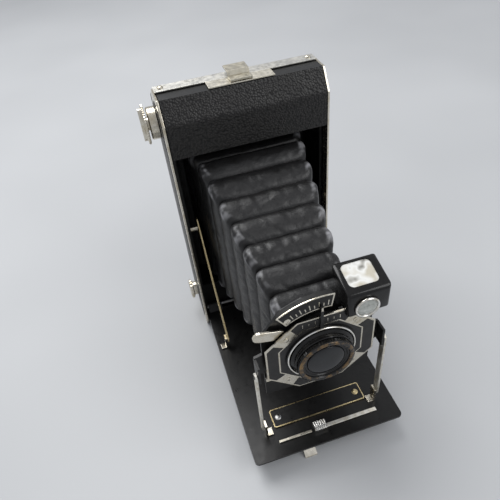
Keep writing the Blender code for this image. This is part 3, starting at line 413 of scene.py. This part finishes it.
def turn(shape, profile, centre, way, steps, wave):
    """Adds a profile of (radius, height) points, turned about an axis, to a bmesh."""
    place = Matrix.Translation(centre) @ TURNS[way]
    rings = []
    for index, (radius, height) in enumerate(profile):
        if radius == 0.0:
            rings.append([shape.verts.new(place @ Vector((0.0, 0.0, height)))])
            continue
        ring = []
        for i in range(steps):
            angle = 2 * math.pi * i / steps
            reach = radius + (wave(index, angle) if wave else 0.0)
            spot = Vector((reach * math.cos(angle), reach * math.sin(angle), height))
            ring.append(shape.verts.new(place @ spot))
        rings.append(ring)
    pairs = list(zip(rings, rings[1:]))
    if profile[0][0] > 0.0:
        pairs.append((rings[-1], rings[0]))
    for first, second in pairs:
        count = max(len(first), len(second))
        for i in range(count):
            j = (i + 1) % count
            corners = [first[i % len(first)], first[j % len(first)]]
            corners += [second[j % len(second)], second[i % len(second)]]
            unique = [corner for k, corner in enumerate(corners) if corner not in corners[:k]]
            if len(unique) > 2:
                shape.faces.new(unique)


def turned(name, profile, centre, way, look, body, replaced=(), steps=64, wave=None):
    shape = bmesh.new()
    turn(shape, profile, centre, way, steps, wave)
    return finish_mesh(name, shape, look, body, replaced)


def bead(radius, height, half_w, half_h, steps=12):
    """The oval section of a turned rim, as (radius, height) points."""
    turns = [2 * math.pi * i / steps for i in range(steps)]
    return [(radius + half_w * math.cos(t), height + half_h * math.sin(t)) for t in turns]


AXES = {
    "X": Matrix(((0, 0, 1), (1, 0, 0), (0, 1, 0))),
    "Y": Matrix(((1, 0, 0), (0, 0, -1), (0, 1, 0))),
    "Z": Matrix(((1, 0, 0), (0, 1, 0), (0, 0, 1))),
}


def slab(outlines, axis, low, high):
    """A bmesh of a flat outline with holes, from low to high along an axis."""
    curve = bpy.data.curves.new("outline", "CURVE")
    curve.dimensions = "2D"
    curve.fill_mode = "BOTH"
    curve.extrude = (high - low) / 2
    for points in outlines:
        spline = curve.splines.new("POLY")
        spline.points.add(len(points) - 1)
        for point, (a, b) in zip(spline.points, points):
            point.co = (a, b, 0.0, 1.0)
        spline.use_cyclic_u = True
    source = bpy.data.objects.new("outline", curve)
    bpy.context.scene.collection.objects.link(source)
    bpy.context.view_layer.update()
    mesh = bpy.data.meshes.new_from_object(source.evaluated_get(bpy.context.evaluated_depsgraph_get()))
    bpy.data.objects.remove(source, do_unlink=True)
    middle = (low + high) / 2
    shift = {"X": (middle, 0, 0), "Y": (0, middle, 0), "Z": (0, 0, middle)}[axis]
    mesh.transform(Matrix.Translation(shift) @ AXES[axis].to_4x4())
    shape = bmesh.new()
    shape.from_mesh(mesh)
    bpy.data.meshes.remove(mesh)
    bmesh.ops.remove_doubles(shape, verts=shape.verts, dist=0.002 * MM)
    return shape


def plate(name, outlines, axis, low, high, look, body, replaced=(), edge=0.1 * MM):
    made = finish_mesh(name, slab(outlines, axis, low, high), look, body, replaced)
    if edge:
        ease(made, edge)
    return made


def circle(centre, radius, steps=48):
    turns = [2 * math.pi * i / steps for i in range(steps)]
    return [(centre[0] + radius * math.cos(t), centre[1] + radius * math.sin(t)) for t in turns]


def rounded(low, high, radius, steps=6):
    points = []
    corners = ((high[0], high[1], 0), (low[0], high[1], 90), (low[0], low[1], 180), (high[0], low[1], 270))
    for x, y, start in corners:
        cx = x - math.copysign(radius, x - (low[0] + high[0]) / 2)
        cy = y - math.copysign(radius, y - (low[1] + high[1]) / 2)
        for i in range(steps + 1):
            angle = math.radians(start + 90 * i / steps)
            points.append((cx + radius * math.cos(angle), cy + radius * math.sin(angle)))
    return points


def inset(points, distance):
    """A convex outline moved inwards by a distance."""
    count = len(points)
    area = sum(points[i - 1][0] * points[i][1] - points[i][0] * points[i - 1][1] for i in range(count))
    way = 1.0 if area > 0 else -1.0
    moved = []
    for i in range(count):
        before, here, after = (Vector(points[i - 1]), Vector(points[i]), Vector(points[(i + 1) % count]))
        first, second = (here - before).normalized(), (after - here).normalized()
        inner_a = Vector((-first[1], first[0])) * way
        inner_b = Vector((-second[1], second[0])) * way
        bisector = (inner_a + inner_b).normalized()
        moved.append(tuple(here + bisector * distance / max(0.2, bisector.dot(inner_a))))
    return moved


# Body


def body_trim():
    shell_low, shell_high = low_high("body_shell")
    half_w = shell_high.x
    front, rear = shell_low.y, shell_high.y
    top, bottom = shell_high.z, shell_low.z
    chamfer_d, chamfer_h = 6.0 * MM, 9.5 * MM
    flat_end = front + 20.0 * MM
    fall_h, fall_d = 9.0 * MM, 16.0 * MM
    rear_fall = fall_h * (rear - flat_end) / fall_d
    thick, side_gap = 0.25 * MM, 0.2 * MM
    panel_in, panel_t = 5.0 * MM, 0.2 * MM
    opening_top = top - 25.5 * MM
    runs = {
        "leather_front": [(front + chamfer_d, top), (front, top - chamfer_h), (front, opening_top)],
        "leather_foot": [(front + 5.6 * MM, bottom + 0.63 * MM), (front + 2.1 * MM, bottom + 6.2 * MM)],
        "leather_rear_top": [(flat_end, top), (rear, top - rear_fall)],
        "leather_rear_foot": [(flat_end + 0.8 * MM, bottom + 0.45 * MM), (rear, bottom + rear_fall)],
    }
    for name, run in runs.items():
        skin(name, run, thick, half_w - side_gap)
    for side, word in ((-1, "left"), (1, "right")):
        plate_low, plate_high = low_high("side_plate_" + word)
        face = plate_high.x if side > 0 else plate_low.x
        outline = [
            (front, bottom + chamfer_h),
            (front + chamfer_d, bottom),
            (flat_end, bottom),
            (rear, bottom + rear_fall),
            (rear, top - rear_fall),
            (flat_end, top),
            (front + chamfer_d, top),
            (front, top - chamfer_h),
        ]
        panel = inset(outline, panel_in)
        x_low, x_high = sorted((face, face + side * panel_t))
        plate("leather_side_" + word, [panel], "X", x_low, x_high, LEATHER, "body")


def skin(name, run, thick, half_w):
    """A covering laid over a run of faces, with a soft fold where they meet."""
    points = [Vector(point) for point in run]
    body_middle = Vector((0.0, 72.0 * MM))
    fold, steps = 1.2 * MM, 6
    path = [points[0]]
    for before, here, after in zip(points, points[1:], points[2:]):
        start = here + (before - here).normalized() * fold
        end = here + (after - here).normalized() * fold
        for i in range(steps + 1):
            t = i / steps
            path.append(start * (1 - t) ** 2 + here * 2 * t * (1 - t) + end * t**2)
    path.append(points[-1])
    shape = bmesh.new()
    rows = []
    for i, point in enumerate(path):
        along = (path[min(i + 1, len(path) - 1)] - path[max(i - 1, 0)]).normalized()
        out = Vector((-along[1], along[0]))
        if out.dot(point - body_middle) < 0:
            out = -out
        lifted = point + out * thick
        section = ((-half_w, point), (-half_w, lifted), (half_w, lifted), (half_w, point))
        rows.append([shape.verts.new((x, y, z)) for x, (y, z) in section])
    for first, second in zip(rows, rows[1:]):
        for i in range(4):
            j = (i + 1) % 4
            shape.faces.new((first[i], first[j], second[j], second[i]))
    shape.faces.new(rows[0])
    shape.faces.new(reversed(rows[-1]))
    finish_mesh(name, shape, LEATHER, "body")


def screw_head(name, centre, radius, height, body, slot_turn, way="+Z", replaced=()):
    """A domed head with a slot across it."""
    dome = [(radius * math.sin(t), height * (0.45 + 0.55 * math.cos(t))) for t in (0.0, 0.35, 0.7, 1.05, 1.4)]
    profile = dome + [(radius, height * 0.4), (radius, 0.0), (0.0, 0.0)]
    made = turned(name, profile, centre, way, NICKEL, body, replaced, 32)
    groove = bmesh.new()
    bmesh.ops.create_cube(groove, size=1.0)
    bmesh.ops.scale(groove, vec=(radius * 2.4, radius * 0.28, height * 0.7), verts=groove.verts)
    bmesh.ops.rotate(groove, matrix=Matrix.Rotation(slot_turn, 3, "Z"), verts=groove.verts)
    bmesh.ops.translate(groove, vec=(0.0, 0.0, height), verts=groove.verts)
    bmesh.ops.transform(groove, matrix=Matrix.Translation(centre) @ TURNS[way], verts=groove.verts)
    cut_away(made, groove)


def top_screws():
    sunk = 0.25 * MM
    for index, name in enumerate(("strip_screw_left", "strip_screw_right")):
        low, high = low_high(name)
        middle = (low + high) / 2
        centre = (middle.x, middle.y, low.z - sunk)
        radius, height = (high.x - low.x) / 2, high.z - centre[2]
        screw_head(name + "_head", centre, radius, height, "body", 0.4 + 0.9 * index, replaced=(name,))


def winding_key():
    """A boss, a neck and a milled disc with the folding wing laid flat on it."""
    low, high = low_high("winding_key")
    middle = (low + high) / 2
    axis = (high.x, middle.y, middle.z)
    disc_r = (high.y - low.y) / 2
    boss_r, boss_t, neck_r = 7.5 * MM, 4.2 * MM, 3.0 * MM
    disc_low, disc_top = 5.0 * MM, 6.2 * MM
    teeth = 48

    def knurl(index, angle):
        return 0.13 * MM * math.cos(teeth * angle) if index in (2, 3) else 0.0

    profile = [
        (0.0, disc_top),
        (disc_r - 0.5 * MM, disc_top),
        (disc_r - 0.15 * MM, disc_top - 0.3 * MM),
        (disc_r - 0.15 * MM, disc_low + 0.2 * MM),
        (disc_r - 0.5 * MM, disc_low),
        (neck_r, disc_low),
        (neck_r, boss_t),
        (boss_r - 0.5 * MM, boss_t),
        (boss_r, boss_t - 0.5 * MM),
        (boss_r, 0.3 * MM),
        (boss_r - 0.3 * MM, 0.0),
        (0.0, 0.0),
    ]
    replaced = ("winding_key",)
    turned("winding_disc", profile, axis, "-X", NICKEL, "winder", replaced, 4 * teeth, knurl)
    half_l, half_w = 8.0 * MM, 1.8 * MM
    wing_low = (middle.y - half_w, middle.z - half_l)
    wing_high = (middle.y + half_w, middle.z + half_l)
    outline = rounded(wing_low, wing_high, half_w * 0.98)
    wing_foot = high.x - disc_top + 0.1 * MM
    wing = plate("winding_wing", [outline], "X", low.x, wing_foot, NICKEL, "winder", edge=0)
    ease(wing, 0.45 * MM, 3)
    pin_t = 0.35 * MM
    pin = [(0.0, pin_t), (0.8 * MM, 0.25 * MM), (1.1 * MM, 0.0), (0.0, 0.0)]
    pin_foot = (low.x + pin_t, middle.y, middle.z)
    turned("winding_pin", pin, pin_foot, "-X", BRASS, "winder", steps=24)


def spool_knob():
    low, high = low_high("spool_knob")
    middle = (low + high) / 2
    radius = (high.y - low.y) / 2
    face = low_high("side_plate_left")[0].x
    out = face - low.x
    inner = face - high.x
    teeth = 24

    def knurl(index, angle):
        return 0.12 * MM * math.cos(teeth * angle) if index in (3, 4) else 0.0

    profile = [
        (0.0, out),
        (radius * 0.7, out),
        (radius * 0.88, out - 0.2 * MM),
        (radius * 0.97, out - 0.6 * MM),
        (radius * 0.97, out - 1.7 * MM),
        (radius * 0.72, out - 2.2 * MM),
        (radius * 0.72, 0.3 * MM),
        (radius * 0.5, 0.3 * MM),
        (radius * 0.5, inner),
        (0.0, inner),
    ]
    axis = (face, middle.y, middle.z)
    replaced = ("spool_knob",)
    turned("spool_knob_turned", profile, axis, "-X", NICKEL, "knob", replaced, 4 * teeth, knurl)


def tripod_bush():
    low, high = low_high("tripod_bush")
    middle = (low + high) / 2
    radius, tall = (high.y - low.y) / 2, high.x - low.x
    hole, chamfer = 2.7 * MM, 0.35 * MM
    profile = [
        (hole + chamfer, tall),
        (radius - chamfer, tall),
        (radius, tall - chamfer),
        (radius, 0.0),
        (hole, 0.0),
        (hole, tall - chamfer),
    ]
    foot = (low.x, middle.y, middle.z)
    turned("tripod_bush_turned", profile, foot, "+X", NICKEL, "body", ("tripod_bush",))


# Bellows


def bellows():
    """Pleats with full crests and sharp valleys, inside the body nearly straight and then tapering."""
    low, high = low_high("bellows")
    length = high.y - low.y
    lens_z = centre_of("focus_ring").z
    pleats = 8.5
    steps = 10
    count = int(2 * pleats * steps)
    shape = bmesh.new()
    # Per-vertex share of painted crest-corner glint, mixed with corner wear
    glint_wear_layer = shape.verts.layers.float.new("corner_glint_and_wear")
    rows = []
    for i in range(count + 1):
        reach = length * i / count
        half_w, half_h, middle = bellows_section(reach, length, (low.z, high.z), lens_z)
        swing = abs(math.cos(math.pi * reach / length * pleats))
        bulge = swing**0.42
        fold = 3.0 * MM * (1.0 - bulge)
        corner = (2.4 + 2.2 * (1.0 - bulge)) * MM
        loose = 0.0 if i in (0, count) else bulge
        pleat = math.floor(reach / length * pleats + 0.5)
        row = []
        for x, z, at_corner in ring_points(half_w - fold, half_h - fold, corner):
            place = Vector((x, high.y - reach, middle + z))
            dent = abs(noise.noise(place * 95.0)) * 0.5 * MM + abs(noise.noise(place * 330.0)) * 0.16 * MM
            crease = noise.noise(Vector((x * 150.0, pleat * 9.0, z * 150.0)))
            dent += max(0.0, 1.0 - abs(crease) / 0.12) * 0.5 * MM
            out = Vector((x, 0.0, z)).normalized()
            sway = noise.noise(Vector((x * 60.0, pleat * 5.0, z * 60.0)))
            shift = Vector((0.0, sway * 0.9 * MM * loose, 0.0))
            vert = shape.verts.new(place - out * dent * loose + shift)
            spots = noise.noise(place * 210.0) * 0.6 + noise.noise(place * 620.0) * 0.5
            # Light grey on the crest corners: painted glints, together with corner wear
            corner_glint_and_rub = 1.1 if at_corner else 0.0
            vert[glint_wear_layer] = max(0.0, min(1.0, (bulge - 0.72) * 3.2 * corner_glint_and_rub * max(0.0, spots + 0.22) * 2.0))
            row.append(vert)
        rows.append(row)
    for first, second in zip(rows, rows[1:]):
        for i in range(len(first)):
            j = (i + 1) % len(first)
            shape.faces.new((first[i], first[j], second[j], second[i]))
    sharp = math.radians(62)
    made = finish_mesh("bellows_pleats", shape, BELLOWS, "body", ("bellows",), sharp)
    wall = made.modifiers.new("wall", "SOLIDIFY")
    wall.thickness = 0.4 * MM
    wall.offset = -1.0
    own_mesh(made)


def bellows_section(reach, length, rear_z, lens_z):
    """Half width, half height and middle at a distance in front of the rear end."""
    throat = 21.2 * MM
    rear_w, throat_w, front_w, front_h = 30.5 * MM, 26.8 * MM, 15.5 * MM, 20.0 * MM
    inside = min(1.0, reach / throat)
    taper = max(0.0, (reach - throat) / (length - throat))
    half_w = rear_w + (throat_w - rear_w) * inside
    half_h = (rear_z[1] - rear_z[0]) / 2
    middle = (rear_z[1] + rear_z[0]) / 2
    half_w += (front_w - half_w) * taper
    half_h += (front_h - half_h) * taper
    return half_w, half_h, middle + (lens_z - middle) * taper


def ring_points(half_w, half_h, corner, side_steps=36, corner_steps=5):
    """(x, z, near a corner) round a rectangle with round corners."""
    corners = ((1, 1, 0.0), (-1, 1, 0.5), (-1, -1, 1.0), (1, -1, 1.5))
    arcs = []
    for sx, sz, start in corners:
        middle = Vector((sx * (half_w - corner), sz * (half_h - corner)))
        turns = [math.pi * (start + 0.5 * i / corner_steps) for i in range(corner_steps + 1)]
        arcs.append([middle + Vector((corner * math.cos(t), corner * math.sin(t))) for t in turns])
    points = []
    for arc, following in zip(arcs, arcs[1:] + arcs[:1]):
        points += [(spot[0], spot[1], True) for spot in arc]
        for i in range(1, side_steps):
            spot = arc[-1].lerp(following[0], i / side_steps)
            points.append((spot[0], spot[1], False))
    return points


# Front standard


def polar(radius, degrees, lens_z):
    turn_by = math.radians(degrees)
    return (radius * math.cos(turn_by), lens_z + radius * math.sin(turn_by))


def octagon(share, lens_z):
    """The shutter plate's outline, shrunk by a share."""
    quarter = [(PLATE_HALF_W, PLATE_SIDE), (PLATE_TOP, PLATE_HALF_H)]
    points = quarter + [(-x, z) for x, z in reversed(quarter)]
    points += [(-x, -z) for x, z in points]
    return [(x * share, lens_z + z * share) for x, z in points]


def shutter_face():
    low, high = low_high("octagon_face")
    lens_z = (low.z + high.z) / 2
    front = low.y
    outer, inner = octagon(1.0, lens_z), octagon(0.745, lens_z)
    hole = circle((0.0, lens_z), 9.0 * MM)
    plate("shutter_plate", [outer, hole], "Y", front, high.y, NICKEL, "standard", ("octagon_face",))
    border, inside = octagon(0.968, lens_z), octagon(0.772, lens_z)
    dark = {"shutter_inner": [inner, hole]}
    for word, index in (("left", 3), ("right", 7), ("top", 1), ("bottom", 5)):
        dark["shutter_panel_" + word] = [dark_panel(border, inside, index)]
    proud = front - 0.08 * MM
    for name, outlines in dark.items():
        plate(name, outlines, "Y", proud, front, PANEL, "standard", edge=THIN)
    screw_r, screw_t = 1.1 * MM, 0.3 * MM
    for number, index in enumerate((0, 2, 4, 6)):
        ends = border[index : index + 2] + inside[index : index + 2]
        middle = sum((Vector(point) for point in ends), Vector((0.0, 0.0))) / len(ends)
        centre = (middle[0], front, middle[1])
        screw_head("shutter_screw_%d" % number, centre, screw_r, screw_t, "standard", 0.5 + number, "-Y")
    top_mid = lens_z + PLATE_HALF_H * 0.87
    pitch, half_mark = 2.6 * MM, 0.14 * MM
    marks = []
    for i in range(-3, 4):
        x = i * pitch
        tall = (1.9 if i % 2 else 1.2) * MM
        foot = [(x - half_mark, top_mid - tall / 2), (x + half_mark, top_mid - tall / 2)]
        marks.append(foot + [(px, top_mid + tall / 2) for px, _ in reversed(foot)])
    mark_low, mark_high = front - 0.13 * MM, front - 0.02 * MM
    plate("panel_marks", marks, "Y", mark_low, mark_high, NICKEL, "standard", edge=0)


def dark_panel(outer, inner, index):
    """A panel along one side of the octagon that turns a little way round both its corners."""
    lap = 0.22

    def run(points):
        before, first, second, after = (Vector(points[(index + k) % 8]) for k in (-1, 0, 1, 2))
        return [first.lerp(before, lap), first, second, second.lerp(after, lap)]

    return [tuple(point) for point in run(outer) + list(reversed(run(inner)))]


def stop_scale():
    low, high = low_high("stop_scale")
    lens_z = centre_of("focus_ring").z
    r_in, r_out = 25.5 * MM, 32.0 * MM
    start, end = 80.0, 124.0
    steps = 28

    def arc(inset_by):
        side = math.degrees(inset_by / r_in)
        turns = [start + side + (end - start - 2 * side) * i / steps for i in range(steps + 1)]
        outer = [polar(r_out - inset_by, t, lens_z) for t in turns]
        return outer + [polar(r_in + inset_by, t, lens_z) for t in reversed(turns)]

    thin = low.y + 0.4 * MM
    plate("scale_plate", [arc(0.0)], "Y", low.y, thin, NICKEL, "standard")
    plate("scale_back", [arc(0.3 * MM)], "Y", thin, high.y, MATT, "standard", ("stop_scale",))
    face = low.y - 0.07 * MM
    plate("scale_face", [arc(0.5 * MM)], "Y", face, low.y, ENAMEL, "standard", edge=THIN)
    ticks = 9
    wide = math.degrees(0.17 * MM / r_in)
    r_low = r_in + 1.3 * MM
    marks = []
    for i in range(ticks):
        angle = start + 4.0 + (end - start - 13.0) * i / (ticks - 1)
        tall = (2.6 if i % 2 == 0 else 1.6) * MM
        sides = (angle + wide, angle - wide)
        foot = [polar(r_low, t, lens_z) for t in sides]
        marks.append(foot + [polar(r_low + tall, t, lens_z) for t in reversed(sides)])
    mark_low, mark_high = face - 0.05 * MM, face + 0.02 * MM
    plate("scale_marks", marks, "Y", mark_low, mark_high, NICKEL, "standard", edge=0)
    x, z = polar(r_in + 2.0 * MM, end - 4.0, lens_z)
    rivet_r, rivet_t = 1.45 * MM, 0.45 * MM
    screw_head("scale_rivet", (x, face, z), rivet_r, rivet_t, "standard", 0.9, "-Y")


def stop_lever():
    low, high = low_high("stop_lever")
    lens_z = centre_of("focus_ring").z
    outer = (high.x - low.x) / 2
    inner = outer - 1.35 * MM
    ring = [circle((0.0, lens_z), outer, 96), circle((0.0, lens_z), inner, 96)]
    plate("stop_ring", ring, "Y", low.y, high.y, ENAMEL, "stop", ("stop_lever",))
    bead_r = 0.42 * MM
    rim = bead(inner + 1.2 * bead_r, 0.0, bead_r, bead_r)
    turned("stop_rim", rim, (0.0, low.y, lens_z), "-Y", BRIGHT, "stop", steps=96)
    foot_z, tip_z = lens_z + outer - 0.1 * MM, high.z
    wide = 0.8 * MM
    narrow = wide * 0.6
    arm = [(-wide, foot_z), (wide, foot_z), (narrow, tip_z), (-narrow, tip_z)]
    plate("stop_pointer", [arm], "Y", low.y, high.y, PANEL, "stop", edge=0.15 * MM)
    tip = [(-0.4, 2.4), (0.0, 2.0), (0.4, 2.4), (0.35, 0.5), (0.0, 0.15), (-0.35, 0.5)]
    mark = [(x * MM, tip_z - drop * MM) for x, drop in tip]
    plate("stop_tip", [mark], "Y", low.y - 0.06 * MM, low.y + 0.02 * MM, NICKEL, "stop", edge=0)


def lens():
    barrel_low, barrel_high = low_high("lens_barrel")
    ring_low, ring_high = low_high("focus_ring")
    glass_low, glass_high = low_high("front_lens")
    lens_z = (ring_low.z + ring_high.z) / 2
    centre = (0.0, barrel_high.y, lens_z)
    tall = barrel_high.y - barrel_low.y
    base_r = (barrel_high.x - barrel_low.x) / 2
    bore = 9.0 * MM
    step = 12.6 * MM
    profile = [
        (bore, tall),
        (step - 0.3 * MM, tall),
        (step, tall - 0.3 * MM),
        (step, 1.7 * MM),
        (base_r - 0.5 * MM, 1.4 * MM),
        (base_r, 1.0 * MM),
        (base_r, 0.0),
        (bore, 0.0),
    ]
    turned("barrel_turned", profile, centre, "-Y", GLOSS, "standard", ("lens_barrel",), 96)
    deep = ring_high.y - ring_low.y
    centre = (0.0, ring_high.y, lens_z)
    outer = (ring_high.x - ring_low.x) / 2
    radius = (glass_high.x - glass_low.x) / 2
    teeth = 72

    def knurl(index, angle):
        return 0.11 * MM * math.cos(teeth * angle) if index in (1, 2) else 0.0

    profile = [
        (outer - 0.75 * MM, deep - 0.45 * MM),
        (outer - 0.2 * MM, deep - 0.75 * MM),
        (outer - 0.12 * MM, 0.3 * MM),
        (outer - 0.4 * MM, 0.0),
        (radius + 0.1 * MM, 0.0),
        (radius + 0.1 * MM, 0.6 * MM),
        (radius + 0.9 * MM, 0.75 * MM),
        (radius + 1.1 * MM, 1.05 * MM),
        (radius + 1.9 * MM, 1.2 * MM),
        (radius + 2.1 * MM, deep - 0.5 * MM),
    ]
    replaced = ("focus_ring",)
    turned("focus_grip", profile, centre, "-Y", GLOSS, "focus", replaced, 4 * teeth, knurl)
    rim_r = (outer - 0.75 * MM + radius + 2.1 * MM) / 2
    rim_w = (outer - 0.6 * MM - radius - 2.0 * MM) / 2
    rim = bead(rim_r, deep - 0.5 * MM, rim_w, 0.45 * MM, 14)
    turned("focus_rim", rim, centre, "-Y", RUBBED, "focus", steps=96)
    thick, dome_h = glass_high.y - glass_low.y, 1.2 * MM
    profile = [(radius * math.sin(t), thick - dome_h * (1 - math.cos(t))) for t in DOME]
    profile += [(radius, 0.0), (0.0, 0.0)]
    centre = (0.0, glass_high.y, lens_z)
    turned("front_glass", profile, centre, "-Y", LENS, "focus", ("front_lens",), 72)
    iris_in, iris_out, iris_t = 3.2 * MM, 8.6 * MM, 0.3 * MM
    profile = [(iris_in, iris_t), (iris_out, iris_t), (iris_out, 0.0), (iris_in, 0.0)]
    centre = (0.0, barrel_high.y - 0.4 * MM, lens_z)
    turned("iris_plate", profile, centre, "-Y", MATT, "standard")


# Finder


def rise(item, low_y, high_y, by):
    """Lifts a shape evenly along its depth."""
    for vert in item.verts:
        vert.co.z += by * (vert.co.y - low_y) / (high_y - low_y)


def finder():
    low, high = low_high("finder_body")
    lens_z = centre_of("focus_ring").z
    slope = 3.6 * MM
    top = high.z - slope
    floor_d, back_h = 5.5 * MM, 3.8 * MM
    side = [
        (low.y, low.z),
        (low.y + floor_d, low.z),
        (high.y, high.z - back_h),
        (high.y, high.z),
        (low.y, top),
    ]
    shape = slab([side], "X", low.x, high.x)
    body = finish_mesh("finder_hood", shape, GLOSS, "standard", ("finder_body",))
    ease(body, 1.5 * MM, 5)
    frame_l, frame_r, frame_f, frame_b = 2.3 * MM, 3.0 * MM, 3.4 * MM, 1.7 * MM
    sight_low = (low.x + frame_l, low.y + frame_f)
    sight_high = (high.x - frame_r, high.y - frame_b)
    depth = 1.6 * MM
    well = slab([rounded(sight_low, sight_high, 2.2 * MM)], "Z", top - depth, top + 2.0 * MM)
    rise(well, low.y, high.y, slope)
    bezel = centre_of("finder_bezel")
    eye = slab([circle((bezel.x, bezel.z), 4.0 * MM)], "Y", low.y - MM, low.y + 1.4 * MM)
    notch_low, notch_high = low_high("octagon_face")
    gap = 0.3 * MM
    notch = slab([octagon(1.02, lens_z)], "Y", notch_low.y - gap, notch_high.y + gap)
    cut_away(body, well, eye, notch)
    play = 0.1 * MM
    glass_low = (sight_low[0] + play, sight_low[1] + play)
    glass_high = (sight_high[0] - play, sight_high[1] - play)
    pane = slab([rounded(glass_low, glass_high, 2.1 * MM)], "Z", top - 1.5 * MM, top - 0.45 * MM)
    rise(pane, low.y, high.y, slope)
    # The pane's colour is a painted reflection
    shown = finish_mesh("finder_pane", pane, PANE_PAINTED_REFLECTION, "standard", ("finder_window",))
    ease(shown, 0.3 * MM, 3)
    centre = (bezel.x, low.y, bezel.z)
    reach = low.y - low_high("finder_bezel")[0].y
    ring = bead(4.65 * MM, reach - 0.75 * MM, 0.55 * MM, 0.72 * MM)
    turned("finder_rim", ring, centre, "-Y", BRIGHT, "standard", ("finder_bezel",))
    eye_r, seat, dome_h = 4.2 * MM, 0.9 * MM, 0.85 * MM
    profile = [(eye_r * math.sin(t), reach - seat + dome_h * math.cos(t)) for t in DOME]
    profile += [(eye_r, -seat), (0.0, -seat)]
    turned("finder_eye", profile, centre, "-Y", PALE, "standard", ("finder_lens",), 48)


# Bed


def bed():
    tray_low, tray_high = low_high("bed_tray")
    front = tray_low.y
    half_w = tray_high.x
    side_gap = 0.6 * MM
    leather_front, leather_rear = front + 8.6 * MM, -17.0 * MM
    under = rounded((side_gap - half_w, leather_front), (half_w - side_gap, leather_rear), 1.0 * MM)
    plate("bed_leather", [under], "Z", tray_low.z - 0.22 * MM, tray_low.z, LEATHER, "bed")
    low, high = low_high("blank_plate")
    sheet_top = low.z + 0.6 * MM
    sheet = rounded((low.x, low.y), (high.x, high.y), 1.0 * MM)
    plate("label_plate", [sheet], "Z", low.z, sheet_top, BRASS, "bed", ("blank_plate",))
    rim = 0.45 * MM
    face = rounded((low.x + rim, low.y + rim), (high.x - rim, high.y - rim), 0.7 * MM)
    face_low, face_high = sheet_top - 0.02 * MM, sheet_top + 0.06 * MM
    plate("label_face", [face], "Z", face_low, face_high, ENAMEL, "bed", edge=THIN)
    middle = (low.y + high.y) / 2
    rivet_in = 3.2 * MM
    for word, x, look in (("left", low.x + rivet_in, STEEL), ("right", high.x - rivet_in, BRASS)):
        rivet(word, (x, middle, sheet_top), 1.6 * MM, 0.6 * MM, look)
    bed_catch()


def rivet(word, centre, radius, height, look):
    dome = [(radius * math.sin(t), height * math.cos(t) ** 0.8) for t in (0.0, 0.3, 0.6, 0.9, 1.2, 1.45)]
    profile = dome + [(radius, 0.0), (0.0, 0.0)]
    turned("label_rivet_" + word, profile, centre, "+Z", look, "bed", steps=32)


def bed_catch():
    """A sliding catch with ridges across its top."""
    low, high = low_high("bed_catch")
    ridges = 6
    wide = (high.x - low.x) / ridges
    crest, valley = high.z, high.z - 0.55 * MM
    run = [(low.x, low.z), (low.x, valley)]
    for i in range(ridges):
        x = low.x + wide * i
        run += [(x + wide * 0.3, crest), (x + wide * 0.7, crest), (x + wide, valley)]
    run += [(high.x, low.z)]
    plate("catch_grip", [run], "Y", low.y, high.y, BRIGHT, "catch", ("bed_catch",), edge=0.12 * MM)


# Stage


def stage():
    surface = Surface("pale_table", (0.44, 0.45, 0.46), 0.55)
    surface.shades(surface.noise(0.25, 2.0), (0.42, 0.43, 0.44), (0.46, 0.47, 0.48))
    mesh = bpy.data.meshes.new("table")
    shape = bmesh.new()
    bmesh.ops.create_grid(shape, x_segments=1, y_segments=1, size=4.0)
    shape.to_mesh(mesh)
    shape.free()
    mesh.materials.append(surface.material)
    floor = bpy.data.objects.new("table", mesh)
    bpy.context.scene.collection.objects.link(floor)
    lamp("key_light", (-0.25, 0.45, 0.9), 0.7, 9.0)
    lamp("fill_light", (0.55, -0.5, 0.7), 0.6, 3.5)
    world = bpy.data.worlds.new("studio")
    world.use_nodes = True
    background = world.node_tree.nodes["Background"]
    background.inputs["Color"].default_value = (0.93, 0.95, 1.0, 1.0)
    background.inputs["Strength"].default_value = 0.55
    bpy.context.scene.world = world


def lamp(name, place, size, power):
    light = bpy.data.lights.new(name, "AREA")
    light.size = size
    light.energy = power
    made = bpy.data.objects.new(name, light)
    made.location = place
    aim = Vector((0.0, -0.04, 0.06))
    made.rotation_euler = (aim - Vector(place)).to_track_quat("-Z", "Y").to_euler()
    bpy.context.scene.collection.objects.link(made)


def camera():
    optics = bpy.data.cameras.new("camera")
    optics.sensor_width = 36.0
    optics.lens = 34.89
    optics.clip_start = 0.005
    made = bpy.data.objects.new("camera", optics)
    right = Vector((0.9525, -0.2909, -0.0906))
    up = Vector((0.2597, 0.6198, 0.7405))
    back = Vector((-0.1593, -0.7288, 0.6659))
    turn_to = Matrix((right, up, back)).transposed().to_4x4()
    made.matrix_world = Matrix.Translation((-0.04868, -0.2087, 0.22907)) @ turn_to
    bpy.context.scene.collection.objects.link(made)
    bpy.context.scene.camera = made


def main():
    bpy.context.scene.view_settings.view_transform = "Standard"
    dress_nodes()
    body_trim()
    top_screws()
    winding_key()
    spool_knob()
    tripod_bush()
    bellows()
    shutter_face()
    stop_scale()
    stop_lever()
    lens()
    finder()
    bed()
    stage()
    camera()


main()
